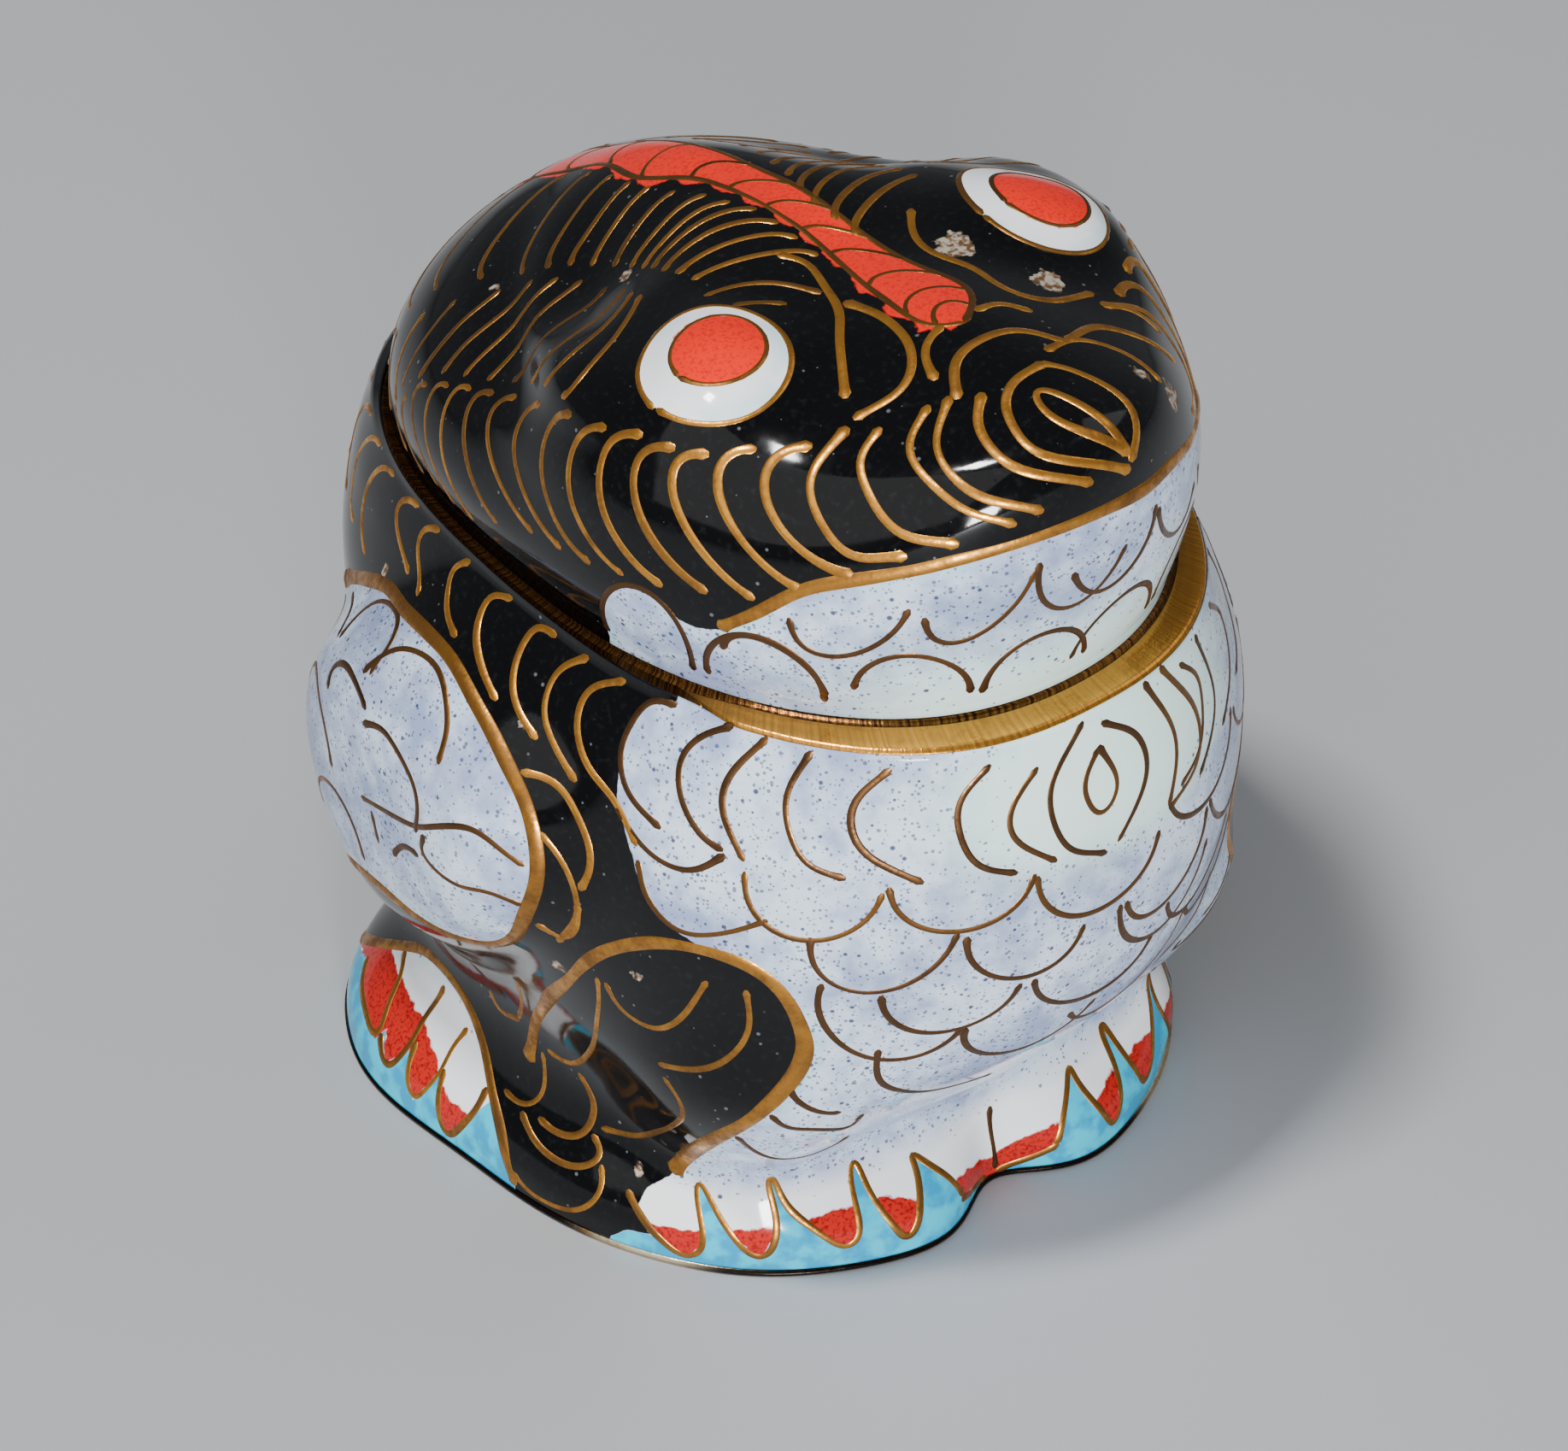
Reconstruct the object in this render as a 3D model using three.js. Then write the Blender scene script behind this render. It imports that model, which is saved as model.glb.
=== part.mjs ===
// A small cloisonne box in the shape of a squatting frog.
// The head and back are a lid that lifts off; the belly, haunches and feet are a hollow body.
// The frog looks along -Y, its left side is +X, and it stands on z = 0. Millimetres and degrees.
import * as THREE from "three";

// Driving sizes
const seamHeight = 38.8; // table to the flat land that the lid rests on
const plateThickness = 0.8; // sheet that closes the body from below
const plateLip = 0.25; // how far that sheet shows round the feet
const bodyWall = 1.8; // copper with enamel on both faces
const mouthRimThickness = 1.5; // gilt ring soldered on the body
const mouthRimDrop = 0.6; // the ring slopes down by this from the lid to its outer edge
const mouthRimShow = 0.15; // how far the ring shows where the lid is flush with the body
const bellyReach = 27.2; // from the body's axis to the front of the belly
const rumpReach = 27.2; // from the body's axis to the back
const flankHalfWidth = 20.2; // half the body's width, without the haunches
const haunchBulge = 4.4;
const flankBulge = 1.6;
const foreLegBulge = 2.6;
const hindFootBulge = 2.4;
const toeGapDepth = 3;
const lidWall = 1.8;
const lidRimThickness = 0.5; // gilt edge soldered under the lid
const lidSetBack = 1; // the lid's axis stands in front of the body's by this much
const lidStepFront = 1.94; // the lid's edge stands this far inside the body's top at the chin
const lidStepBack = 1.3;
const lidStepSide = 0.29;
const crownHeight = 16.6; // lower edge of the lid to the middle of its top
const browBulge = 3.3; // swelling of the head under and outside each eye
const eyeDome = 1.2; // how far each eye stands above the brow
const eyeRadius = 3.6; // where the dome has sunk to about a third
const eyeSpacing = 21.4; // from the middle of one eye to the other
const eyeAhead = 7; // from the lid's axis forward to the eyes
const seatWidth = 2.4; // flat ring of the lid that rests on the body's rim
const collarClearance = 0.4; // between the collar and the mouth
const collarThickness = 0.9;
const collarDepth = 3.4;

// Facets
const facetsRound = 60;
const bodyRows = 21;
const liningRows = 11;
const lidRows = 17;
const lidLiningRows = 10;
const lidTopAngle = 86; // the last ring below the crown's single point

const degrees = Math.PI / 180;

// Body outline at shares of the seam height: shares of the belly reach, rump reach and half width,
// and the power of the rounded outline, 2 for an ellipse and more for a squarer one.
const bodySections = [
  { at: 0, front: 0.794, back: 0.84, side: 1.06, power: 2.15 },
  { at: 0.066, front: 0.783, back: 0.83, side: 1.05, power: 2.15 },
  { at: 0.167, front: 0.669, back: 0.8, side: 0.95, power: 2.2 },
  { at: 0.257, front: 0.757, back: 0.83, side: 0.93, power: 2.25 },
  { at: 0.41, front: 0.915, back: 0.9, side: 0.97, power: 2.25 },
  { at: 0.59, front: 0.993, back: 0.965, side: 1, power: 2.25 },
  { at: 0.77, front: 1, back: 1, side: 0.995, power: 2.3 },
  { at: 0.9, front: 0.975, back: 0.98, side: 0.935, power: 2.35 },
  { at: 1, front: 0.95, back: 0.93, side: 0.866, power: 2.4 },
];

// Reaches of the lid's lower edge from its own axis: the body's top outline less the steps.
const bodyTopShares = bodySections[bodySections.length - 1];
const lidChinReach = bodyTopShares.front * bellyReach - lidSetBack - lidStepFront;
const lidBackReach = bodyTopShares.back * rumpReach + lidSetBack - lidStepBack;
const lidHalfWidth = bodyTopShares.side * flankHalfWidth - lidStepSide;

// Lid outline at angles above its lower edge: shares of the chin reach, back reach and half width,
// and the powers of its front and back.
const lidSections = [
  { at: 0, front: 1, back: 1, side: 1, frontPower: 2.15, backPower: 2.5 },
  { at: 12, front: 1.081, back: 0.958, side: 1.081, frontPower: 2.15, backPower: 2.2 },
  { at: 24, front: 1.203, back: 0.881, side: 1.074, frontPower: 2.1, backPower: 1.95 },
  { at: 33, front: 1.262, back: 0.819, side: 1.041, frontPower: 1.95, backPower: 1.75 },
  { at: 40, front: 1.15, back: 0.785, side: 1.044, frontPower: 1.85, backPower: 1.7 },
  { at: 50, front: 0.996, back: 0.751, side: 0.964, frontPower: 1.85, backPower: 1.7 },
  { at: 62, front: 0.835, back: 0.719, side: 0.964, frontPower: 1.9, backPower: 1.8 },
  { at: 75, front: 0.741, back: 0.678, side: 0.98, frontPower: 2, backPower: 2 },
];

// Swellings of the body, one on each side: azimuth and half width in degrees from the front,
// height and half height as shares of the seam height, and a lean in degrees for each millimetre up.
const swellings = [
  { azimuth: 103, spread: 30, height: 0.62, halfHeight: 0.29, bulge: haunchBulge, lean: -0.9, firmness: 5.5 },
  { azimuth: 60, spread: 27, height: 0.62, halfHeight: 0.33, bulge: flankBulge, lean: 0, firmness: 2.6 },
  { azimuth: 43, spread: 16, height: 0.283, halfHeight: 0.18, bulge: foreLegBulge, lean: 0, firmness: 2.6 },
  { azimuth: 126, spread: 24, height: 0, halfHeight: 0.142, bulge: hindFootBulge, lean: 0, firmness: 2.6 },
];
const toeGap = { spread: 10, halfHeight: 0.129 };
const brows = { azimuth: 69.6, angle: 43.1, spread: 22.9, firmness: 2.55 };
const eyeTilt = new THREE.Vector3(0.25, -0.1, 0.96).normalize(); // way the left eye faces
const eyeHeight = 0.938; // height of the eyes above the lid's edge, as a share of the crown's

// Smooth curve through one column of a table, at any place between its rows.
function sample(table, column, place) {
  const last = table.length - 1;
  let row = 0;
  while (row < last - 1 && place > table[row + 1].at) row += 1;
  const slope = (index) => {
    const below = table[Math.max(index - 1, 0)];
    const above = table[Math.min(index + 1, last)];
    return (above[column] - below[column]) / (above.at - below.at);
  };
  const start = table[row];
  const end = table[row + 1];
  const span = end.at - start.at;
  const t = Math.min(Math.max((place - start.at) / span, 0), 1);
  const ease = t * t * (3 - 2 * t);
  return (
    start[column] * (1 - ease) +
    end[column] * ease +
    slope(row) * span * t * (1 - t) * (1 - t) -
    slope(row + 1) * span * t * t * (1 - t)
  );
}

// Reach of a rounded outline whose front and back differ, at an azimuth from the front.
function outlineReach(azimuth, front, back, side, power) {
  const lengthways = Math.cos(azimuth);
  const along = Math.abs(lengthways) / (lengthways >= 0 ? front : back);
  const across = Math.abs(Math.sin(azimuth)) / side;
  return (along ** power + across ** power) ** (-1 / power);
}

// Angle from a middle azimuth, in degrees, between -180 and 180.
function turnFrom(azimuth, middle) {
  const turn = azimuth / degrees - middle;
  return turn - 360 * Math.round(turn / 360);
}

// Rise of a mirrored pair of soft pads. Firm pads have a flatter top and a quicker edge.
function padRise(azimuth, height, pad) {
  let rise = 0;
  for (const side of [-1, 1]) {
    const up = height - pad.height * seamHeight;
    const across = side * turnFrom(azimuth, side * pad.azimuth) - pad.lean * up;
    const from = Math.hypot(across / pad.spread, up / (pad.halfHeight * seamHeight));
    rise += pad.bulge * Math.exp(-(from ** pad.firmness));
  }
  return rise;
}

// Distance of the body's outer face from the upright axis.
function bodyReach(azimuth, height) {
  const share = height / seamHeight;
  const read = (column) => sample(bodySections, column, share);
  const plain = outlineReach(
    azimuth,
    read("front") * bellyReach,
    read("back") * rumpReach,
    read("side") * flankHalfWidth,
    read("power"),
  );
  const swollen = swellings.reduce((sum, pad) => sum + padRise(azimuth, height, pad), 0);
  const fromGap = turnFrom(azimuth, 0) / toeGap.spread;
  const gap = Math.exp(-(fromGap ** 2) - (share / toeGap.halfHeight) ** 4);
  return plain + swollen - toeGapDepth * gap;
}

// Distance of the lid's outer face from the middle of its lower edge.
function lidReach(azimuth, angle) {
  const place = angle / degrees;
  const crownRow = { at: 90, front: crownHeight / lidChinReach, back: crownHeight / lidBackReach };
  Object.assign(crownRow, { side: crownHeight / lidHalfWidth, frontPower: 2, backPower: 2 });
  const table = [...lidSections, crownRow];
  const read = (column) => sample(table, column, place);
  const ahead = 0.5 + 0.5 * Math.min(Math.max(2.5 * Math.cos(azimuth), -1), 1);
  const power = read("backPower") + (read("frontPower") - read("backPower")) * ahead;
  const plain = outlineReach(
    azimuth,
    read("front") * lidChinReach,
    read("back") * lidBackReach,
    read("side") * lidHalfWidth,
    power,
  );
  let rise = 0;
  for (const side of [-1, 1]) {
    const turn = azimuth - side * brows.azimuth * degrees;
    const level = Math.cos(turn) * Math.cos(angle) * Math.cos(brows.angle * degrees);
    const upright = Math.sin(angle) * Math.sin(brows.angle * degrees);
    const apart = Math.acos(Math.min(level + upright, 1)) / degrees;
    rise += browBulge * Math.exp(-((apart / brows.spread) ** brows.firmness));
  }
  return plain + rise + eyeRise(azimuth, angle, plain + rise);
}

// Rise of the domed eyes at a point of the head. The rise falls off away from each eye's own axis.
function eyeRise(azimuth, angle, reach) {
  const level = reach * Math.cos(angle);
  let rise = 0;
  for (const side of [-1, 1]) {
    const across = side * level * Math.sin(azimuth) - eyeSpacing / 2;
    const along = eyeAhead - level * Math.cos(azimuth);
    const up = reach * Math.sin(angle) - eyeHeight * crownHeight;
    const from = new THREE.Vector3(across, along, up);
    const apart = from.addScaledVector(eyeTilt, -from.dot(eyeTilt)).length();
    rise += eyeDome * Math.exp(-((apart / eyeRadius) ** 2.5));
  }
  return rise;
}

// Reach of a lining that lies at least one wall inside a face, whichever way the face turns.
function liningReach(reach, first, second, wall, firstScale, secondScale) {
  const steps = [-1, -0.5, 0, 0.5, 1];
  let least = Infinity;
  for (const u of steps) {
    for (const v of steps) {
      const depth = 1 - u * u - v * v;
      if (depth >= 0) {
        const near = reach(first + u * firstScale, second + v * secondScale);
        least = Math.min(least, near - wall * Math.sqrt(depth));
      }
    }
  }
  return least;
}

function bodyLining(azimuth, height) {
  return liningReach(bodyReach, azimuth, height, bodyWall, bodyWall / flankHalfWidth, bodyWall);
}

function lidLining(azimuth, angle) {
  const turn = lidWall / crownHeight;
  const level = Math.max(Math.cos(angle), 0.3);
  return liningReach(lidReach, azimuth, angle, lidWall, turn / level, turn);
}

// Points of one ring: a point for each azimuth, made by a function of it.
function ring(point) {
  return Array.from({ length: facetsRound }, (_, index) => point((index / facetsRound) * 2 * Math.PI));
}

// Ring of a given reach round an upright axis that stands at y = axis.
function levelRing(reach, height, axis = 0) {
  return ring((azimuth) => {
    const out = reach(azimuth);
    return new THREE.Vector3(out * Math.sin(azimuth), axis - out * Math.cos(azimuth), height);
  });
}

const lidFloor = seamHeight + lidRimThickness;

function lidRing(reach, angle) {
  return ring((azimuth) => {
    const out = reach(azimuth, angle);
    const level = out * Math.cos(angle);
    return new THREE.Vector3(
      level * Math.sin(azimuth),
      -lidSetBack - level * Math.cos(azimuth),
      lidFloor + out * Math.sin(angle),
    );
  });
}

// Closed geometry from rings that follow each other. Ends are a point each, or meet in a loop.
function ringSolid(rings, ends = []) {
  const positions = rings.flat().flatMap((point) => point.toArray());
  const faces = [];
  const count = rings.length;
  const at = (row, index) => (row % count) * facetsRound + (index % facetsRound);
  const pairs = ends.length ? count - 1 : count;
  for (let row = 0; row < pairs; row += 1) {
    for (let index = 0; index < facetsRound; index += 1) {
      faces.push(at(row, index), at(row, index + 1), at(row + 1, index + 1));
      faces.push(at(row, index), at(row + 1, index + 1), at(row + 1, index));
    }
  }
  ends.forEach((point, end) => {
    const tip = count * facetsRound + end;
    positions.push(...point.toArray());
    for (let index = 0; index < facetsRound; index += 1) {
      if (end === 0) faces.push(tip, at(0, index + 1), at(0, index));
      else faces.push(tip, at(count - 1, index), at(count - 1, index + 1));
    }
  });
  const geometry = new THREE.BufferGeometry();
  geometry.setAttribute("position", new THREE.Float32BufferAttribute(positions, 3));
  geometry.setIndex(faces);
  geometry.computeVertexNormals();
  return geometry;
}

function spread(count, from, to) {
  return Array.from({ length: count }, (_, index) => from + ((to - from) * index) / (count - 1));
}

const bodyTop = seamHeight - mouthRimThickness;

// Belly, haunches and feet: an open shell between the bottom sheet and the mouth's rim.
function body() {
  const outer = spread(bodyRows, plateThickness, bodyTop).map((height) =>
    levelRing((azimuth) => bodyReach(azimuth, height), height),
  );
  const inner = spread(liningRows, bodyTop, plateThickness).map((height) =>
    levelRing((azimuth) => bodyLining(azimuth, height), height),
  );
  return ringSolid([...outer, ...inner]);
}

// Sheet soldered under the feet. It follows their outline and shows as a thin gilt edge.
function bottomPlate() {
  const outline = levelRing((azimuth) => bodyReach(azimuth, plateThickness) + plateLip, 0);
  const shape = new THREE.Shape(outline.map((point) => new THREE.Vector2(point.x, point.y)));
  return new THREE.ExtrudeGeometry(shape, { depth: plateThickness, bevelEnabled: false });
}

const lidEdge = (azimuth) => lidReach(azimuth, 0);
const mouthEdge = (azimuth) => lidEdge(azimuth) - seatWidth;

// Ring on the body's top edge. The lid rests on its level inner part, and its outer part slopes down.
function mouthRim() {
  const outer = (height) => (azimuth) => bodyReach(azimuth, height);
  const slopeTop = (azimuth) => lidEdge(azimuth) + mouthRimShow;
  const slopeFoot = seamHeight - mouthRimDrop;
  return ringSolid([
    levelRing(outer(bodyTop), bodyTop),
    levelRing(outer(slopeFoot), slopeFoot),
    levelRing(slopeTop, seamHeight, -lidSetBack),
    levelRing(mouthEdge, seamHeight, -lidSetBack),
    levelRing(mouthEdge, bodyTop, -lidSetBack),
  ]);
}

// Head and back: a hollow dome, fuller under the eyes.
function lid() {
  const top = lidTopAngle * degrees;
  const outer = spread(lidRows, 0, top).map((angle) => lidRing(lidReach, angle));
  const inner = spread(lidLiningRows, top, 0).map((angle) => lidRing(lidLining, angle));
  const crown = (reach) => new THREE.Vector3(0, -lidSetBack, lidFloor + reach(0, Math.PI / 2));
  return ringSolid([...inner, ...outer], [crown(lidLining), crown(lidReach)]);
}

// Gilt edge under the lid, with the collar that drops into the mouth and keeps the lid in place.
function lidRim() {
  const collarOuter = (azimuth) => mouthEdge(azimuth) - collarClearance;
  const collarInner = (azimuth) => collarOuter(azimuth) - collarThickness;
  const at = (reach, height) => levelRing(reach, height, -lidSetBack);
  return ringSolid([
    at(lidEdge, seamHeight),
    at(lidEdge, lidFloor),
    at(collarInner, lidFloor),
    at(collarInner, seamHeight - collarDepth),
    at(collarOuter, seamHeight - collarDepth),
    at(collarOuter, seamHeight),
  ]);
}

function piece(name, geometry, color, roughness, metalness) {
  const mesh = new THREE.Mesh(geometry, new THREE.MeshStandardMaterial({ color, roughness, metalness }));
  mesh.name = name;
  return mesh;
}

const whiteEnamel = 0xccd3de;
const blackEnamel = 0x0c0c0d;
const gilt = 0xb0772c;

const frogBox = new THREE.Group();
frogBox.add(piece("body", body(), whiteEnamel, 0.18, 0));
frogBox.add(piece("bottom_plate", bottomPlate(), gilt, 0.4, 1));
frogBox.add(piece("mouth_rim", mouthRim(), gilt, 0.32, 1));
frogBox.add(piece("lid", lid(), blackEnamel, 0.15, 0));
frogBox.add(piece("lid_rim", lidRim(), gilt, 0.35, 1));

export default frogBox;
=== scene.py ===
"""Cloisonne enamel trinket box in the shape of a squatting frog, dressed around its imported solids.

Forms are worked out in millimetres and degrees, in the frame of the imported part: the frog looks
along -Y, its left side is +X and it stands on z = 0. Meshes are written in metres.
"""

import logging
import math
from dataclasses import dataclass, field
from enum import Enum

import bpy
import numpy as np
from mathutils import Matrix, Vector


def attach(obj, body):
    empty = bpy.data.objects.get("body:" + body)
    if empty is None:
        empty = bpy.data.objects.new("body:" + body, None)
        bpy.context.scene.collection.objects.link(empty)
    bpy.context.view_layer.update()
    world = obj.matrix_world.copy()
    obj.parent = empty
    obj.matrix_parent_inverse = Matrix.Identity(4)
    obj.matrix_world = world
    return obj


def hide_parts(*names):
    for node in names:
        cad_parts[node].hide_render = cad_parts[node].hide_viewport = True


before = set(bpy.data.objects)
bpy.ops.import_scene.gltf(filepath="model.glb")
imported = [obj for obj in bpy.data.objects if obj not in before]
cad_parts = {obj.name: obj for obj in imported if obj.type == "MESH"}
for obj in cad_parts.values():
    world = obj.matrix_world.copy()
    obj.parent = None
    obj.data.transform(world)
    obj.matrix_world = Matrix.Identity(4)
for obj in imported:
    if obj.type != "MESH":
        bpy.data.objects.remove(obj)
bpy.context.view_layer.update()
LOG = logging.getLogger("frog_box")

MM = 0.001
PLATE_TOP = 0.4
RIM_FOOT = 37.3
BODY_TOP = 38.2
SEAM = 38.8
LID_FLOOR = 39.3  # height from which the lid's elevations are measured
LID_AXIS_Y = -1.0
SKIN = 0.13  # the drawn faces lie this far inside the solids', so that wires stay in their box
OUTSIDE = -9.0  # carried distance of a place far outside an enamel

Pair = tuple[float, float]


class Side(Enum):
    """Halves of the frog, as the sign of the azimuth."""

    RIGHT = -1
    LEFT = 1


# Forms


def smooth_column(rows: np.ndarray, column: int, place: np.ndarray) -> np.ndarray:
    """Read one column of a table with a smooth curve between its rows.

    Args:
        rows: Table whose first column is the place of each row.
        column: Column to read.
        place: Places to read it at.

    Returns:
        The values, in the shape of place.
    """
    at, values = rows[:, 0], rows[:, column]
    last = len(at) - 1
    low = np.maximum(np.arange(last + 1) - 1, 0)
    high = np.minimum(np.arange(last + 1) + 1, last)
    slope = (values[high] - values[low]) / (at[high] - at[low])
    i = np.clip(np.searchsorted(at, place, side="left") - 1, 0, last - 1)
    span = at[i + 1] - at[i]
    t = np.clip((place - at[i]) / span, 0, 1)
    ease = t * t * (3 - 2 * t)
    blend = values[i] * (1 - ease) + values[i + 1] * ease
    return blend + slope[i] * span * t * (1 - t) ** 2 - slope[i + 1] * span * t * t * (1 - t)


def rounded(azimuth: np.ndarray, front, back, side, power) -> np.ndarray:
    """Reach of a rounded outline whose front and back differ."""
    lengthways = np.cos(np.radians(azimuth))
    along = np.abs(lengthways) / np.where(lengthways >= 0, front, back)
    across = np.abs(np.sin(np.radians(azimuth))) / side
    return (along**power + across**power) ** (-1 / power)


def turn_from(azimuth: np.ndarray, middle: float) -> np.ndarray:
    """Angle from a middle azimuth, between -180 and 180 degrees."""
    turn = azimuth - middle
    return turn - 360 * np.round(turn / 360)


def catmull(points: np.ndarray, count: int, closed: bool = False) -> np.ndarray:
    """Smooth curve through a few points.

    Args:
        points: The points, a row each.
        count: How many points the curve gets for each stretch.
        closed: Whether the last point joins the first.

    Returns:
        The curve's points, a row each.
    """
    pts = np.asarray(points, float)
    if len(pts) < 3 and not closed:
        return np.linspace(pts[0], pts[-1], count + 1)
    if closed:
        ext = np.vstack([pts[-1:], pts, pts[:2]])
    else:
        ext = np.vstack([2 * pts[0] - pts[1], pts, 2 * pts[-1] - pts[-2]])
    t = np.linspace(0, 1, count, endpoint=False)[:, None]
    runs = []
    for i in range(1, len(ext) - 2):
        a, b, c, d = ext[i - 1 : i + 3]
        runs.append(
            0.5 * (2 * b + (c - a) * t + (2 * a - 5 * b + 4 * c - d) * t**2 + (3 * b - a - 3 * c + d) * t**3)
        )
    if not closed:
        runs.append(ext[-2:-1])
    return np.vstack(runs)


class Form:
    """A face that every straight line from its axis meets once, with a flat chart to draw on."""

    STEP = 0.04  # chart distance over which slopes are measured

    def point(self, chart: np.ndarray) -> np.ndarray:
        """Points of the face, in millimetres, at chart places."""
        raise NotImplementedError

    def chart(self, places: np.ndarray) -> np.ndarray:
        """Chart places of (azimuth, height or elevation) pairs."""
        raise NotImplementedError

    def normal(self, chart: np.ndarray) -> np.ndarray:
        """Outward unit normals at chart places."""
        steps = np.eye(2) * self.STEP
        across, along = (self.point(chart + step) - self.point(chart - step) for step in steps)
        normal = np.cross(across, along)
        return normal / np.linalg.norm(normal, axis=-1, keepdims=True)


@dataclass(frozen=True)
class Pad:
    """A mirrored pair of soft swellings: middle, half sizes, rise and how firm its edge is."""

    azimuth: float
    spread: float
    height: float
    half_height: float
    bulge: float
    firmness: float
    lean: float = 0.0

    def rise(self, azimuth: np.ndarray, height: np.ndarray) -> np.ndarray:
        """Rise of both swellings at places of the body."""
        total = 0.0
        for side in Side:
            up = height - self.height * SEAM
            across = side.value * turn_from(azimuth, side.value * self.azimuth) - self.lean * up
            far = np.hypot(across / self.spread, up / (self.half_height * SEAM))
            total = total + self.bulge * np.exp(-(far**self.firmness))
        return total


class BodyForm(Form):
    """Belly, haunches and feet. A chart place is (azimuth in degrees x 0.38, height in mm)."""

    SCALE = 0.38
    BELLY, RUMP, FLANK = 27.2, 27.2, 20.2
    ROWS = np.array(
        [
            [0, 0.794, 0.84, 1.06, 2.15],
            [0.066, 0.783, 0.83, 1.05, 2.15],
            [0.167, 0.669, 0.8, 0.95, 2.2],
            [0.257, 0.757, 0.83, 0.93, 2.25],
            [0.41, 0.915, 0.9, 0.97, 2.25],
            [0.59, 0.993, 0.965, 1, 2.25],
            [0.77, 1, 1, 0.995, 2.3],
            [0.9, 0.975, 0.98, 0.935, 2.35],
            [1, 0.95, 0.93, 0.866, 2.4],
        ]
    )
    PADS = (
        Pad(103, 30, 0.62, 0.29, 4.4, 5.5, -0.9),
        Pad(60, 27, 0.62, 0.33, 1.6, 2.6),
        Pad(43, 16, 0.283, 0.18, 2.6, 2.6),
        Pad(126, 24, 0, 0.142, 2.4, 2.6),
    )
    GAP_DEPTH, GAP_SPREAD, GAP_HEIGHT = 3.0, 10.0, 0.129

    def reach(self, azimuth: np.ndarray, height: np.ndarray) -> np.ndarray:
        """Distance of the outer face from the upright axis, in mm."""
        share = height / SEAM
        plain = rounded(
            azimuth,
            smooth_column(self.ROWS, 1, share) * self.BELLY,
            smooth_column(self.ROWS, 2, share) * self.RUMP,
            smooth_column(self.ROWS, 3, share) * self.FLANK,
            smooth_column(self.ROWS, 4, share),
        )
        swollen = sum(pad.rise(azimuth, height) for pad in self.PADS)
        gap = np.exp(-((turn_from(azimuth, 0) / self.GAP_SPREAD) ** 2) - (share / self.GAP_HEIGHT) ** 4)
        return plain + swollen - self.GAP_DEPTH * gap - SKIN

    def chart(self, places: np.ndarray) -> np.ndarray:
        """Chart places of (azimuth, height) pairs."""
        return np.asarray(places, float) * (self.SCALE, 1.0)

    def point(self, chart: np.ndarray) -> np.ndarray:
        """Points of the outer face at chart places."""
        azimuth, height = chart[..., 0] / self.SCALE, chart[..., 1]
        reach = self.reach(azimuth, height)
        turn = np.radians(azimuth)
        return np.stack([reach * np.sin(turn), -reach * np.cos(turn), height], -1)


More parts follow.
